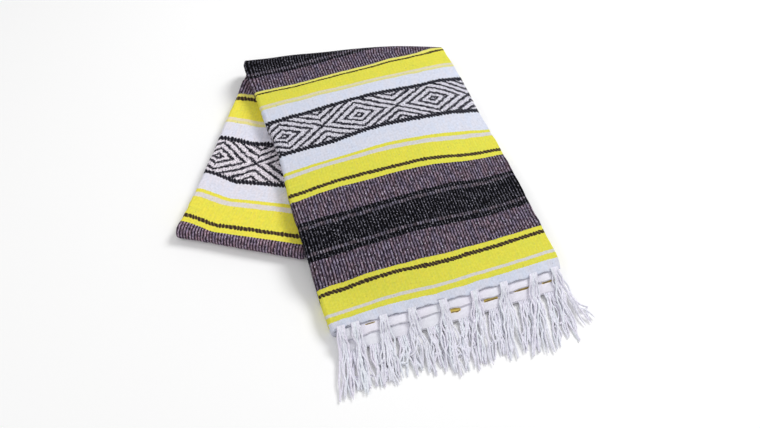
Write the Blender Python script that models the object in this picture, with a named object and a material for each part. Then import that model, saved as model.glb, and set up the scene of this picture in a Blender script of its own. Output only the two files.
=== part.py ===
# Folded striped blanket with fringed hems, lying on a surface.
# The blanket is folded in four lengthwise and its ends are brought together, which makes a strip of
# eight sheets. The strip is then folded back over itself: the rear leg lies below and ends in the
# blanket's middle fold, and the upper leg lies on it, off at an angle, and ends in the fringed hems.
# Plan places are in metres in the studio's plan. The last step puts the origin at bottom centre.
import math

import bmesh
import bpy
import numpy as np

# Cloth
SHEET = 0.0025            # one woven sheet as it lies in the heap
SHEETS = 8
STACK = SHEET * SHEETS
HALF = STACK / 2          # four sheets, wrapped by one nested fold at the left edge
LOBE = HALF / 2           # radius of that nested fold
WALL = 0.0024             # the outer sheet, modelled on its own
GAP = 0.0003              # clearance between solids that touch
COVER = WALL + GAP        # depth at which the hidden layers start below an outer sheet

# Heights
SLIT = 0.0005             # half the gap between the legs at the crease
FOLD_AXIS = STACK + SLIT  # height of the line that the strip folds round
LIFT = FOLD_AXIS + SLIT   # underside of the upper leg where it lies on the rear leg
FOOT = 0.0006             # underside of its sheets where it lies on the floor
CROWN = 0.006             # how far the upper leg puffs up in mid width, near the fold
FOLD_BACK = 0.0205        # how far the fold reaches behind its axis at the ends
FOLD_PUFF = 0.003         # and how much further in mid width
FOLD_BOW = 0.005          # the fold line's own bow
CROWN_FROM, CROWN_OVER = 0.3, 0.4   # where the puff starts along the upper leg, and how long it grows
BOW_OVER = 0.3            # share of each leg over which the bow dies out

# Upper leg's edges in plan, hem first. Columns: along the cloth, x, y
UPPER_LEFT = (
    (0.000, -0.0566, -0.2061),
    (0.0165, -0.0650, -0.1925),
    (0.0623, -0.0800, -0.1490),
    (0.150, -0.1070, -0.0640),
    (0.2145, -0.1270, -0.0020),
    (0.2993, -0.1467, 0.0780),
    (0.3636, -0.1696, 0.1380),
    (0.4305, -0.1914, 0.2010),
    (0.4960, -0.2105, 0.2620),
)
UPPER_RIGHT = (
    (0.000, 0.2418, -0.1069),
    (0.0203, 0.2383, -0.0869),
    (0.0622, 0.2268, -0.0467),
    (0.2224, 0.1781, 0.1060),
    (0.2994, 0.1500, 0.1761),
    (0.3655, 0.1265, 0.2380),
    (0.4200, 0.1060, 0.2870),
)
# Rear leg's edges in plan, from the fold to the axis of its rounded end. Same columns
REAR_LEFT = (
    (0.000, -0.2115, 0.2620),
    (0.033, -0.2203, 0.2300),
    (0.101, -0.2350, 0.1630),
    (0.177, -0.2505, 0.0890),
    (0.249, -0.2660, 0.0180),
    (0.304, -0.2808, -0.0355),
)
REAR_RIGHT = (
    (0.000, 0.0980, 0.2850),
    (0.382, 0.0305, -0.0915),
)
# The upper leg sinks to the floor past the rear leg's right edge and past its end
DROP_RIGHT = (0.000, 0.120)   # where the slope starts and how long it is
DROP_END = (0.020, 0.055)
HEM_SETTLES = 0.3             # share of the upper leg over which its hem settles on the floor

# Stations
UPPER_SHARES = (.03, .07, .11, .15, .19, .23, .27, .31, .36, .42, .5, .58, .66, .74, .82, .88, .94)
FOLD_ANGLES = (70, 50, 30, 10)
FOLD_END = -85            # where the outer sheet goes under the fold
REAR_SHARES = (.10, .2, .32, .44, .56, .68, .8, .9)
NOSE_ANGLES = (22, 44, 66, 88, 110, 132, 154, 175)
NOSE_INSIDE = (0, 22, 44, 66)
REAR_START = 0.040        # the rear leg's own sheet starts this share along, where it first shows
LOBES_END = 0.006         # the nested folds of the hidden layers end this far before a turn
LAST_FLAT = 0.0007        # and their underside leaves the floor this far before it
ACROSS = 13               # columns over the flat of a leg
ARC_STEPS = 5             # steps round a nested fold
TAIL_ANGLE = 160          # how far an outer sheet wraps round the nested fold, from the top
EDGE_ROUND = 0.0008       # rounding of a sheet's edge

# Hidden layers at the right edge. Each value is how far a sheet stays back, second sheet first
LAYER_BACK = (0.0022, 0.0006, 0.0030, 0.0012, 0.0026, 0.0004, 0.0018)
GROOVE = 0.0022           # depth of the groove between two sheets
SIDE_CLEAR = 0.0012       # the rear leg's own sheet ends this far outside the fill
RECESS = 0.0060           # the fill under the sheets stays back this far
INNER_START = 0.0038      # the hidden layers start this far behind the top hem
FIRST_SHARE = INNER_START / UPPER_LEFT[-1][0]

# Lower hems that show in front of the top one. Columns: name, reach past the top hem, top height
HEMS = (
    ("hem_second", 0.0120, 0.0117),
    ("hem_third", 0.0215, 0.0046),
)
HEM_COLUMNS = 10
HEM_DROOP = 0.0008
HEM_WAVE = 0.0006         # unevenness of a lower hem's edge
HEM_WAVES = 17            # radians of that wave over the width

# Fringe strips and strands
STRIP_DEPTH = 0.0040
STRIP_THICK = 0.0020
STRIP_END = 0.004         # the strip runs on past its outermost strands
STRAND_WIDTH = 0.0023
STRAND_PITCH = 0.0030
STRAND_STEPS = 4
STRAND_END_WIDTH = 0.0017
STRAND_PULL = 0.022       # a strand leaves the strip straight ahead for about this far
UNEVEN = 0.006            # how much the strands' lengths vary
# Columns: place of the bundle across the hem, tip x, tip y
TOP_BUNDLES = (
    (.045, -0.0520, -0.2800),
    (.160, -0.0030, -0.2730),
    (.275, 0.0240, -0.2550),
    (.390, 0.0600, -0.2480),
    (.505, 0.1020, -0.2470),
    (.620, 0.1400, -0.2380),
    (.735, 0.1800, -0.2170),
    (.850, 0.2230, -0.2170),
    (.955, 0.2620, -0.1740),
)
SECOND_BUNDLES = (
    (.100, -0.0240, -0.2760),
    (.215, 0.0090, -0.2700),
    (.330, 0.0450, -0.2500),
    (.445, 0.0830, -0.2490),
    (.560, 0.1220, -0.2440),
    (.675, 0.1620, -0.2280),
    (.790, 0.2030, -0.2140),
    (.905, 0.2470, -0.2020),
)
# Columns: root distance past the top hem, root height, rest height, length of the drop
FRINGES = {
    "fringe_top": dict(root=0.0003, high=0.0194, rest=0.0052, drop=0.060, strands=7, bundles=TOP_BUNDLES),
    "fringe_second": dict(root=0.0123, high=0.0097, rest=0.0019, drop=0.035, strands=7,
                          bundles=SECOND_BUNDLES),
}

COLOURS = {
    "upper_leg": (0.72, 0.73, 0.10),
    "rear_leg": (0.72, 0.70, 0.08),
    "inner_layers": (0.16, 0.13, 0.16),
    "hem_second": (0.75, 0.77, 0.86),
    "hem_third": (0.72, 0.74, 0.84),
    "fringe_top": (0.76, 0.76, 0.88),
    "fringe_second": (0.73, 0.73, 0.86),
}
ROUGHNESS = 0.9
SHARP_ANGLE = math.radians(50)
SEARCH_STEPS = 12


def clear_scene():
    for thing in list(bpy.data.objects):
        bpy.data.objects.remove(thing, do_unlink=True)


def soften(value):
    share = min(max(value, 0.0), 1.0)
    return share * share * (3 - 2 * share)


def on_edge(table, along):
    # A smooth curve through the rows of an edge table
    rows = np.array(table)
    last = len(rows) - 1
    spot = int(np.clip(np.searchsorted(rows[:, 0], along) - 1, 0, last - 1))
    before, start, end, after = rows[max(spot - 1, 0)], rows[spot], rows[spot + 1], rows[min(spot + 2, last)]
    span = end[0] - start[0]
    part = (along - start[0]) / span
    lead = (end[1:] - before[1:]) / (end[0] - before[0]) * span
    trail = (after[1:] - start[1:]) / (after[0] - start[0]) * span
    return ((2 * part**3 - 3 * part**2 + 1) * start[1:] + (part**3 - 2 * part**2 + part) * lead
            + (3 * part**2 - 2 * part**3) * end[1:] + (part**3 - part**2) * trail)


def beyond(point, first, second, outward):
    # Signed distance of a plan point past the line through two others
    line = np.array(second) - np.array(first)
    normal = np.array((line[1], -line[0])) / np.linalg.norm(line)
    if normal @ np.array(outward) < 0:
        normal = -normal
    return (np.array(point) - np.array(first)) @ normal


def lifted(point, share):
    # 1 where the upper leg lies on the rear leg, falling to 0 where it has reached the floor
    right = beyond(point, REAR_RIGHT[0][1:], REAR_RIGHT[-1][1:], (1, 0))
    end = beyond(point, REAR_LEFT[-1][1:], REAR_RIGHT[-1][1:], (0, -1))
    return ((1 - soften((right - DROP_RIGHT[0]) / DROP_RIGHT[1]))
            * (1 - soften((end - HALF - DROP_END[0]) / DROP_END[1]))
            * soften(share / HEM_SETTLES))


def crown(across, share):
    return CROWN * 4 * across * (1 - across) * soften((share - CROWN_FROM) / CROWN_OVER)


class Leg:
    # A ruled leg of the strip: rulings run from its left edge to its right edge
    def __init__(self, left, right, bow_at):
        self.left, self.right, self.bow_at = left, right, bow_at

    def ruling(self, share):
        left = on_edge(self.left, share * self.left[-1][0])
        right = on_edge(self.right, share * self.right[-1][0])
        return left, right, float(np.linalg.norm(right - left))

    def plan(self, share, inward):
        left, right, width = self.ruling(share)
        along = (right - left) / width
        across = min(max(inward / width, 0.0), 1.0)
        back = np.array((-along[1], along[0]))
        bow = FOLD_BOW * self.bow_at(share) * 4 * across * (1 - across)
        return left + along * inward + back * bow, across


UPPER = Leg(UPPER_LEFT, UPPER_RIGHT, lambda share: soften((share - 1 + BOW_OVER) / BOW_OVER))
REAR = Leg(REAR_LEFT, REAR_RIGHT, lambda share: 1 - soften(share / BOW_OVER))


def upper_point(share, inward, depth):
    # A point of the upper leg at a depth below its top face
    spot, across = UPPER.plan(share, inward)
    top = FOOT + STACK + (LIFT - FOOT) * lifted(spot, share) + crown(across, share)
    return np.array((spot[0], spot[1], top - depth))


def fold_point(angle, inward, depth):
    # A point of the top fold: 90 degrees is its crest, -90 lies on the floor
    spot, across = UPPER.plan(1.0, inward)
    left, right, width = UPPER.ruling(1.0)
    along = (right - left) / width
    back = np.array((-along[1], along[0]))
    turn = math.radians(angle)
    crest = LIFT + STACK + crown(across, 1.0) - FOLD_AXIS
    reach = FOLD_BACK + FOLD_PUFF * 4 * across * (1 - across)
    height = crest if angle > 0 else FOLD_AXIS
    spot = spot + back * (reach - depth) * math.cos(turn)
    return np.array((spot[0], spot[1], FOLD_AXIS + (height - depth) * math.sin(turn)))


def rear_point(share, inward, depth):
    spot = REAR.plan(share, inward)[0]
    return np.array((spot[0], spot[1], STACK - depth))


def nose_point(angle, inward, depth):
    # A point of the rear leg's rounded end: 0 degrees is its top, 180 lies on the floor
    spot = REAR.plan(1.0, inward)[0]
    left, right, width = REAR.ruling(1.0)
    along = (right - left) / width
    front = np.array((along[1], -along[0]))
    turn = math.radians(angle)
    spot = spot + front * (HALF - depth) * math.sin(turn)
    return np.array((spot[0], spot[1], HALF + (HALF - depth) * math.cos(turn)))


def covered_width(share):
    # How far in from its left edge the rear leg runs before the upper leg's side
    rows = np.array(UPPER_LEFT)
    inward = LOBE
    for _ in range(SEARCH_STEPS):
        spot = REAR.plan(share, inward)[0]
        edge = np.interp(spot[1], rows[:, 2], rows[:, 1]) + LOBE - SIDE_CLEAR
        inward += edge - spot[0]
    return inward


def flat_places(width):
    # Columns over the flat of a leg, from the nested fold to the right edge
    return np.linspace(LOBE, width - EDGE_ROUND, ACROSS)


def wall_section(width):
    # The outer sheet's section, as pairs of inward distance and depth: its outer face from the
    # right edge over the flat and round the nested fold, then its inner face in the same order
    flat = flat_places(width)[::-1]
    turns = np.radians(np.linspace(0, TAIL_ANGLE, ARC_STEPS + 1))[1:]
    outer = [(width, EDGE_ROUND)] + [(spot, 0.0) for spot in flat]
    outer += [(LOBE - LOBE * math.sin(turn), LOBE - LOBE * math.cos(turn)) for turn in turns]
    core = LOBE - WALL
    inner = [(width, WALL - EDGE_ROUND)] + [(spot, WALL) for spot in flat]
    inner += [(LOBE - core * math.sin(turn), LOBE - core * math.cos(turn)) for turn in turns]
    return outer, inner


def left_side(outer_covered):
    # Two nested folds of the hidden layers at the left edge, from the bottom up
    turns = np.radians(np.linspace(180, 0, ARC_STEPS + 1))
    upper = LOBE - COVER if outer_covered else LOBE - GAP / 2
    lower = LOBE - GAP / 2
    upper_centre = LOBE if outer_covered else LOBE - GAP / 2
    lower_centre = HALF + LOBE + GAP / 2
    points = []
    for radius, centre in ((lower, lower_centre), (upper, upper_centre)):
        for turn in turns:
            points.append((LOBE + GAP - radius * math.sin(turn), centre - radius * math.cos(turn)))
    return points


def right_side():
    # Edges of the second to the last sheet at the right, from the top down
    points = []
    for place, back in enumerate(LAYER_BACK):
        top = (place + 1) * SHEET
        points.append((back, top + (GAP + EDGE_ROUND if place == 0 else EDGE_ROUND)))
        points.append((back, top + SHEET - EDGE_ROUND))
        points.append((back + GROOVE, top + SHEET))
    return points


def sweep(name, rings, strip_caps=False):
    # Join the rings of a run into one closed body. Faces that lie on each other split the same way
    mesh = bmesh.new()
    verts = [[mesh.verts.new(point) for point in ring] for ring in rings]
    count = len(rings[0])
    outer_count = count // 2 if strip_caps else 0
    for first, second in zip(verts, verts[1:]):
        for spot in range(count):
            after = (spot + 1) % count
            if spot < outer_count:
                mesh.faces.new((first[spot], first[after], second[after]))
                mesh.faces.new((first[spot], second[after], second[spot]))
            else:
                mesh.faces.new((first[spot], first[after], second[spot]))
                mesh.faces.new((first[after], second[after], second[spot]))
    for end in (verts[0], verts[-1]):
        if strip_caps:
            for spot in range(count // 2 - 1):
                mesh.faces.new((end[spot], end[spot + 1], end[count - 2 - spot], end[count - 1 - spot]))
        else:
            mesh.faces.new(end)
    return finish_mesh(name, mesh)


def finish_mesh(name, mesh):
    bmesh.ops.recalc_face_normals(mesh, faces=mesh.faces)
    data = bpy.data.meshes.new(name)
    mesh.to_mesh(data)
    mesh.free()
    thing = bpy.data.objects.new(name, data)
    bpy.context.collection.objects.link(thing)
    return thing


def paint(thing, name):
    material = bpy.data.materials.new(name)
    material.use_nodes = True
    shader = material.node_tree.nodes["Principled BSDF"]
    shader.inputs["Base Color"].default_value = (*COLOURS[name], 1)
    shader.inputs["Roughness"].default_value = ROUGHNESS
    shader.inputs["Metallic"].default_value = 0
    thing.data.materials.append(material)
    thing.data.shade_smooth()
    thing.data.set_sharp_from_angle(angle=SHARP_ANGLE)


def wall_ring(place, width):
    outer, inner = wall_section(width)
    return [place(*spot) for spot in outer] + [place(*spot) for spot in reversed(inner)]


def build_upper_leg():
    rings = []
    for share in (0.0, FIRST_SHARE, *UPPER_SHARES, 1.0):
        width = UPPER.ruling(share)[2]
        rings.append(wall_ring(lambda inward, depth: upper_point(share, inward, depth), width))
    width = UPPER.ruling(1.0)[2]
    for angle in (*FOLD_ANGLES, *(-angle for angle in reversed(FOLD_ANGLES)), FOLD_END):
        rings.append(wall_ring(lambda inward, depth: fold_point(angle, inward, depth), width))
    return sweep("upper_leg", rings, strip_caps=True)


def build_rear_leg():
    rings = []
    for share in (REAR_START, *REAR_SHARES, 1.0):
        width = covered_width(share)
        rings.append(wall_ring(lambda inward, depth: rear_point(share, inward, depth), width))
    width = covered_width(1.0)
    for angle in NOSE_ANGLES:
        rings.append(wall_ring(lambda inward, depth: nose_point(angle, inward, depth), width))
    return sweep("rear_leg", rings, strip_caps=True)


def upper_block_ring(share, round_edge=True):
    # The hidden layers under the upper leg and what fills the heap below them, down to the floor
    width = UPPER.ruling(share)[2]
    ring = [upper_point(share, spot, COVER) for spot in flat_places(width)[1:-1]]
    ring += [upper_point(share, width - back, depth) for back, depth in right_side()]
    corner = upper_point(share, width - RECESS, STACK)
    ring += [corner, np.array((corner[0], corner[1], 0.0))]
    corner = upper_point(share, LOBE + GAP, STACK)
    ring.append(np.array((corner[0], corner[1], 0.0)))
    for inward, depth in left_side(outer_covered=True):
        ring.append(upper_point(share, inward if round_edge else LOBE + GAP, depth))
    return ring


def upper_block_back(crest, angle):
    # The crest's ring, moved back and flattened to follow the fold
    turn = math.radians(angle)
    left, right, width = UPPER.ruling(1.0)
    along = (right - left) / width
    back = np.array((-along[1], along[0]))
    ring = []
    for point in crest:
        inward = (point[:2] - left) @ along
        across = min(max(inward / width, 0.0), 1.0)
        top = upper_point(1.0, inward, COVER)[2]
        above = top - FOLD_AXIS
        below = FOLD_AXIS - COVER
        level = point[2] / top
        height = FOLD_AXIS - below * math.sin(turn) + level * (above + below) * math.sin(turn)
        reach = FOLD_BACK + FOLD_PUFF * 4 * across * (1 - across) - COVER
        spot = point[:2] + back * reach * math.cos(turn)
        ring.append(np.array((spot[0], spot[1], height)))
    return ring


def build_upper_block():
    length = UPPER_LEFT[-1][0]
    shares = (FIRST_SHARE, *UPPER_SHARES, 1 - LOBES_END / length)
    rings = [upper_block_ring(share) for share in shares]
    rings.append(upper_block_ring(1 - LAST_FLAT / length, round_edge=False))
    crest = upper_block_ring(1.0, round_edge=False)
    rings += [upper_block_back(crest, angle) for angle in (90, *FOLD_ANGLES)]
    return sweep("inner_layers", rings)


def rear_block_ring(share, covered, round_edge=True, nose_angle=None):
    # The rear leg's hidden layers. In its rounded end they are squeezed towards mid height
    turn = math.radians(nose_angle or 0)
    squeeze, front = math.cos(turn), (HALF - COVER) * math.sin(turn)
    width = covered_width(share) + 2 * RECESS
    left, right, full = REAR.ruling(share)
    along = (right - left) / full
    ahead = np.array((along[1], -along[0]))
    top = COVER if covered else 0.0
    shrink = 1.0 if nose_angle is None else (STACK - 2 * COVER) / (STACK - COVER)
    section = [(spot, top) for spot in np.linspace(LOBE + GAP, width, 5)[1:]]
    section.append((width, STACK))
    section += left_side(covered)
    ring = []
    for inward, depth in section:
        inward = inward if round_edge else max(inward, LOBE + GAP)
        spot = rear_point(share, inward, top + (depth - top) * shrink)
        plan = spot[:2] + ahead * front
        ring.append(np.array((plan[0], plan[1], HALF + (spot[2] - HALF) * squeeze)))
    return ring


def build_rear_block():
    length = REAR_LEFT[-1][0]
    step = GAP / length
    rings = [rear_block_ring(LAST_FLAT / length, False), rear_block_ring(REAR_START - 2 * step, False)]
    rings += [rear_block_ring(share, True) for share in (REAR_START - step, *REAR_SHARES)]
    rings.append(rear_block_ring(1 - LOBES_END / length, True))
    rings.append(rear_block_ring(1 - LAST_FLAT / length, True, False))
    rings += [rear_block_ring(1.0, True, False, angle) for angle in NOSE_INSIDE]
    return sweep("rear_block", rings)


def build_inner_layers():
    block = build_upper_block()
    rear = build_rear_block()
    rear.hide_render = True
    rear.display_type = "WIRE"
    join = block.modifiers.new("rear layers", "BOOLEAN")
    join.operation = "UNION"
    join.object = rear
    return block


def hem_place(across, ahead, height):
    # A place in front of the top hem: across it, ahead of it, and above the floor
    left, right, width = UPPER.ruling(0.0)
    along = (right - left) / width
    front = np.array((along[1], -along[0]))
    spot = left + (right - left) * across + front * ahead
    return np.array((spot[0], spot[1], height))


def hem_root(across, height):
    # A place just in front of the hidden layers, where a lower hem comes out
    left, right, width = UPPER.ruling(FIRST_SHARE)
    along = (right - left) / width
    spot = left + (right - left) * across + np.array((along[1], -along[0])) * GAP
    return np.array((spot[0], spot[1], height))


def build_hem(name, reach, top):
    rings = []
    inset = (LOBE + GAP) / UPPER.ruling(0.0)[2]
    for across in np.linspace(inset, 1 - inset, HEM_COLUMNS):
        tip = reach - HEM_WAVE * abs(math.sin(across * HEM_WAVES + top / WALL))
        rings.append([
            hem_root(across, top),
            hem_place(across, tip - EDGE_ROUND, top - HEM_DROOP),
            hem_place(across, tip, top - HEM_DROOP - EDGE_ROUND),
            hem_place(across, tip - EDGE_ROUND, top - HEM_DROOP - WALL),
            hem_root(across, top - WALL),
        ])
    return sweep(name, rings)


def strand_height(fringe, ahead):
    left = max(1 - (ahead - fringe["root"]) / fringe["drop"], 0.0)
    return fringe["rest"] + (fringe["high"] - fringe["rest"]) * left * left


def build_fringe(name, fringe):
    # A narrow strip in front of the hem, with each strand drawn out of its front face
    mesh = bmesh.new()
    width = UPPER.ruling(0.0)[2]
    back, ahead = fringe["root"], fringe["root"] + STRIP_DEPTH
    top, bottom = fringe["high"] + STRIP_THICK / 2, fringe["high"] - STRIP_THICK / 2
    left, right = hem_place(0, 0, 0), hem_place(1, 0, 0)
    side = (right - left)[:2] / width
    front = np.array((side[1], -side[0]))

    columns = []
    for number, (place, tip_x, tip_y) in enumerate(fringe["bundles"]):
        for strand in range(fringe["strands"]):
            middle = strand - (fringe["strands"] - 1) / 2
            root = place * width + middle * STRAND_PITCH
            columns.append((root, number, middle, np.array((tip_x, tip_y))))
    stops = [(columns[0][0] - STRIP_END, None)]
    for column in columns:
        stops += [(column[0] - STRAND_WIDTH / 2, column), (column[0] + STRAND_WIDTH / 2, None)]
    stops.append((columns[-1][0] + STRIP_END, None))

    def corners(distance):
        across = distance / width
        spots = ((ahead, top), (ahead, bottom), (back, bottom), (back, top))
        return [mesh.verts.new(hem_place(across, depth, height)) for depth, height in spots]

    rows = [corners(distance) for distance, _ in stops]
    mesh.faces.new(rows[0])
    mesh.faces.new(rows[-1])
    for (distance, column), first, second in zip(stops, rows, rows[1:]):
        for spot in (1, 2, 3):
            after = (spot + 1) % 4
            mesh.faces.new((first[spot], first[after], second[after], second[spot]))
        if column is None:
            mesh.faces.new((first[0], first[1], second[1], second[0]))
        else:
            draw_strand(mesh, fringe, column, (first[0], second[0], second[1], first[1]), ahead, front, side)
    return finish_mesh(name, mesh)


def draw_strand(mesh, fringe, column, root_ring, ahead, front, side):
    # Carry the root's four corners along a smooth path to the strand's tip
    root, number, middle, tip = column
    start = hem_place(root / UPPER.ruling(0.0)[2], ahead, 0)[:2]
    bundle_root = start - side * middle * STRAND_PITCH
    lie = tip - bundle_root - front * STRAND_PULL
    lie = lie / np.linalg.norm(lie)
    spread = np.array((-lie[1], lie[0])) * middle * STRAND_PITCH
    end = tip + spread + lie * UNEVEN * math.sin(number * 5.3 + middle * 2.9)
    pull = start + front * STRAND_PULL
    ring = root_ring
    for step in range(1, STRAND_STEPS + 1):
        part = step / STRAND_STEPS
        spot = (1 - part) ** 2 * start + 2 * part * (1 - part) * pull + part ** 2 * end
        distance = (spot - start) @ front + ahead
        height = strand_height(fringe, distance)
        wide = STRAND_WIDTH + (STRAND_END_WIDTH - STRAND_WIDTH) * part
        tall = STRIP_THICK + (STRAND_END_WIDTH - STRIP_THICK) * part
        heading = 2 * (1 - part) * (pull - start) + 2 * part * (end - pull)
        heading = heading / np.linalg.norm(heading)
        out = np.array((-heading[1], heading[0])) * wide / 2
        upper, lower = height + tall / 2, height - tall / 2
        spots = ((spot - out, upper), (spot + out, upper), (spot + out, lower), (spot - out, lower))
        after = [mesh.verts.new((place[0], place[1], level)) for place, level in spots]
        for corner in range(4):
            following = (corner + 1) % 4
            mesh.faces.new((ring[corner], ring[following], after[following], after[corner]))
        ring = after
    mesh.faces.new(ring)


def centre_all(things):
    # Put the frame's origin at the bottom centre of the whole part
    points = np.array([vert.co[:] for thing in things for vert in thing.data.vertices])
    low, high = points.min(axis=0), points.max(axis=0)
    middle = (low + high) / 2
    for thing in things:
        for vert in thing.data.vertices:
            vert.co.x -= middle[0]
            vert.co.y -= middle[1]
    print("moved by", -middle[:2], "size", high - low, "lowest", low[2])


clear_scene()
parts = {
    "upper_leg": build_upper_leg(),
    "rear_leg": build_rear_leg(),
    "inner_layers": build_inner_layers(),
}
for hem in HEMS:
    parts[hem[0]] = build_hem(*hem)
for fringe_name, fringe_row in FRINGES.items():
    parts[fringe_name] = build_fringe(fringe_name, fringe_row)
for part_name, part in parts.items():
    paint(part, part_name)
centre_all(list(parts.values()) + [bpy.data.objects["rear_block"]])
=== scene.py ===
import math
from functools import partial

import bpy
import numpy as np
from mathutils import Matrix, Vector


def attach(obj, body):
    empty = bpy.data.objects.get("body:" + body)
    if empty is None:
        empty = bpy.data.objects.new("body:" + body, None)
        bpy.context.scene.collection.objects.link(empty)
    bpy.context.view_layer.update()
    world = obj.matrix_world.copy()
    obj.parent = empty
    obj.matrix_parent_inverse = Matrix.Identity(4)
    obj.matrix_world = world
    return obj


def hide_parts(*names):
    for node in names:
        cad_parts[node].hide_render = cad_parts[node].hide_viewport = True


# Looks of the folded striped blanket: fine cloth sheets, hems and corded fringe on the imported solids
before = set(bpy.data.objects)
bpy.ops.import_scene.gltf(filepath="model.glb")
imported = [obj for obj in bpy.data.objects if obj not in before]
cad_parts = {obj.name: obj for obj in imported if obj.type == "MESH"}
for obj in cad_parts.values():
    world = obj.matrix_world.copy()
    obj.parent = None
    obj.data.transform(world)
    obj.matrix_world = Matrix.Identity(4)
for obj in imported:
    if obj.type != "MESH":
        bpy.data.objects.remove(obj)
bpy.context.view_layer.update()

# Sizes that the pieces share, in metres, as in the solids
cloth = {
    "stack": 0.020,          # eight sheets
    "half": 0.010,           # four sheets, wrapped by one nested fold at the left edge
    "lobe": 0.005,           # radius of that nested fold
    "wall": 0.0024,          # one sheet
    "cover": 0.0027,         # where the hidden sheets start below an outer one
    "foldAxis": 0.0205,
    "lift": 0.0210,          # underside of the upper leg on the rear leg
    "foot": 0.0006,
    "crown": 0.006,
    "foldBack": 0.0205,
    "foldPuff": 0.003,
    "foldBow": 0.005,
    # The top fold at its right and left ends. Columns: reach, from and over shares of its width
    "foldRight": (0.0112, 0.3, 0.5),   # it stands further back
    "foldLeft": (0.0025, 0.15),        # and here a little
    "cornerIn": (0.0065, 0.86, 0.14),  # the right corner is tucked in
    "cornerOut": (0.0034, 0.012),      # the left one stands out, over metres
    "squareCorner": 0.0019,  # how much squarer the nested fold is at the top fold
    "bowOver": 0.3,
    "crownGrows": (0.3, 0.4),          # from and over shares of the leg
    "dropRight": 0.120,      # length of the slope to the floor past the rear leg's right edge
    "dropEndFrom": 0.020,
    "dropEnd": 0.055,
    "hemSettles": 0.3,
    "width": 0.3175,         # of the strip, as the pattern counts it
    "endOut": 0.0050,        # how much further the rear leg's end reaches at the right
    "endOutFrom": 0.7,       # share of the leg
    "endOutOver": 0.2,       # metres across it
    "rib": 0.0042,           # pitch of the warp ribs
    "underEdge": 0.0012,     # how far the rear leg's face runs on under the upper leg's side
    "overFloor": 0.0002,     # the lowest that any cloth lies
}
planShift = np.array((0.00446, -0.01035))   # from the studio's plan to the frame's origin

# Edges of the two legs in the studio's plan. Columns: along the cloth, x, y
upperLeft = (
    (0.000, -0.0566, -0.2061),
    (0.0165, -0.0650, -0.1925),
    (0.0623, -0.0800, -0.1490),
    (0.150, -0.1070, -0.0640),
    (0.2145, -0.1270, -0.0020),
    (0.2993, -0.1467, 0.0780),
    (0.3636, -0.1696, 0.1380),
    (0.4305, -0.1914, 0.2010),
    (0.4960, -0.2105, 0.2620),
)
upperRight = (
    (0.000, 0.2418, -0.1069),
    (0.0203, 0.2383, -0.0869),
    (0.0622, 0.2268, -0.0467),
    (0.2224, 0.1781, 0.1060),
    (0.2994, 0.1500, 0.1761),
    (0.3655, 0.1265, 0.2380),
    (0.4200, 0.1060, 0.2870),
)
rearLeft = (
    (0.000, -0.2115, 0.2620),
    (0.033, -0.2203, 0.2300),
    (0.101, -0.2350, 0.1630),
    (0.177, -0.2505, 0.0890),
    (0.249, -0.2660, 0.0180),
    (0.304, -0.2808, -0.0355),
)
rearRight = (
    (0.000, 0.0980, 0.2850),
    (0.382, 0.0305, -0.0915),
)

camera = {
    "lens": 40.26,
    "sensor": 36.0,
    "elevation": 53.0,
    "distance": 1.21,
}


def linked(name, data):
    thing = bpy.data.objects.new(name, data)
    bpy.context.scene.collection.objects.link(thing)
    return thing


def makeCamera():
    data = bpy.data.cameras.new("camera")
    data.lens = camera["lens"]
    data.sensor_width = camera["sensor"]
    eye = linked("camera", data)
    tilt = math.radians(camera["elevation"])
    aim = Vector((planShift[0], planShift[1], 0))
    back = Vector((0, -math.cos(tilt), math.sin(tilt)))
    eye.location = aim + back * camera["distance"]
    eye.rotation_euler = (-back).to_track_quat("-Z", "Y").to_euler()
    bpy.context.scene.camera = eye


makeCamera()
print("camera placed")


# Shapes that all the cloth follows
def soften(value):
    share = np.clip(value, 0.0, 1.0)
    return share * share * (3 - 2 * share)


def upFrom(value, start, over):
    # 0 before the start, 1 past it by the length given
    return soften((value - start) / over)


def wander(place, pitch, seed):
    # Smooth, repeatable unevenness from -1 to 1 along a line
    draws = np.random.default_rng(seed).uniform(-1, 1, 4096)
    spot = np.asarray(place) / pitch + 1024
    first = np.floor(spot).astype(int)
    part = soften(spot - first)
    return draws[first % 4096] * (1 - part) + draws[(first + 1) % 4096] * part


def onEdge(table, along):
    rows = np.array(table)
    last = len(rows) - 1
    spot = int(np.clip(np.searchsorted(rows[:, 0], along) - 1, 0, last - 1))
    before, start = rows[max(spot - 1, 0)], rows[spot]
    end, after = rows[spot + 1], rows[min(spot + 2, last)]
    span = end[0] - start[0]
    part = (along - start[0]) / span
    lead = (end[1:] - before[1:]) / (end[0] - before[0]) * span
    trail = (after[1:] - start[1:]) / (after[0] - start[0]) * span
    return ((2 * part**3 - 3 * part**2 + 1) * start[1:] + (part**3 - 2 * part**2 + part) * lead
            + (3 * part**2 - 2 * part**3) * end[1:] + (part**3 - part**2) * trail)


def ruling(leg, share):
    # The line across a leg: left end, right end, direction, direction to the back, width
    left = onEdge(leg["left"], share * leg["left"][-1][0])
    right = onEdge(leg["right"], share * leg["right"][-1][0])
    width = float(np.linalg.norm(right - left))
    along = (right - left) / width
    return left, right, along, np.array((-along[1], along[0])), width


def onLeg(leg, share, inward):
    left, _, along, back, width = ruling(leg, share)
    across = np.clip(inward / width, 0, 1)
    nearFold = leg["bow"](share)
    bow = cloth["foldBow"] * nearFold * 4 * across * (1 - across)
    reach, over = cloth["cornerOut"]
    out = reach * nearFold ** 3 * (1 - soften(inward / over))
    return left + np.outer(inward - out, along) + np.outer(bow, back), across


upperLeg = {
    "left": upperLeft,
    "right": upperRight,
    "bow": lambda share: soften((share - 1 + cloth["bowOver"]) / cloth["bowOver"]),
}
rearLeg = {
    "left": rearLeft,
    "right": rearRight,
    "bow": lambda share: 1 - soften(share / cloth["bowOver"]),
}


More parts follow.
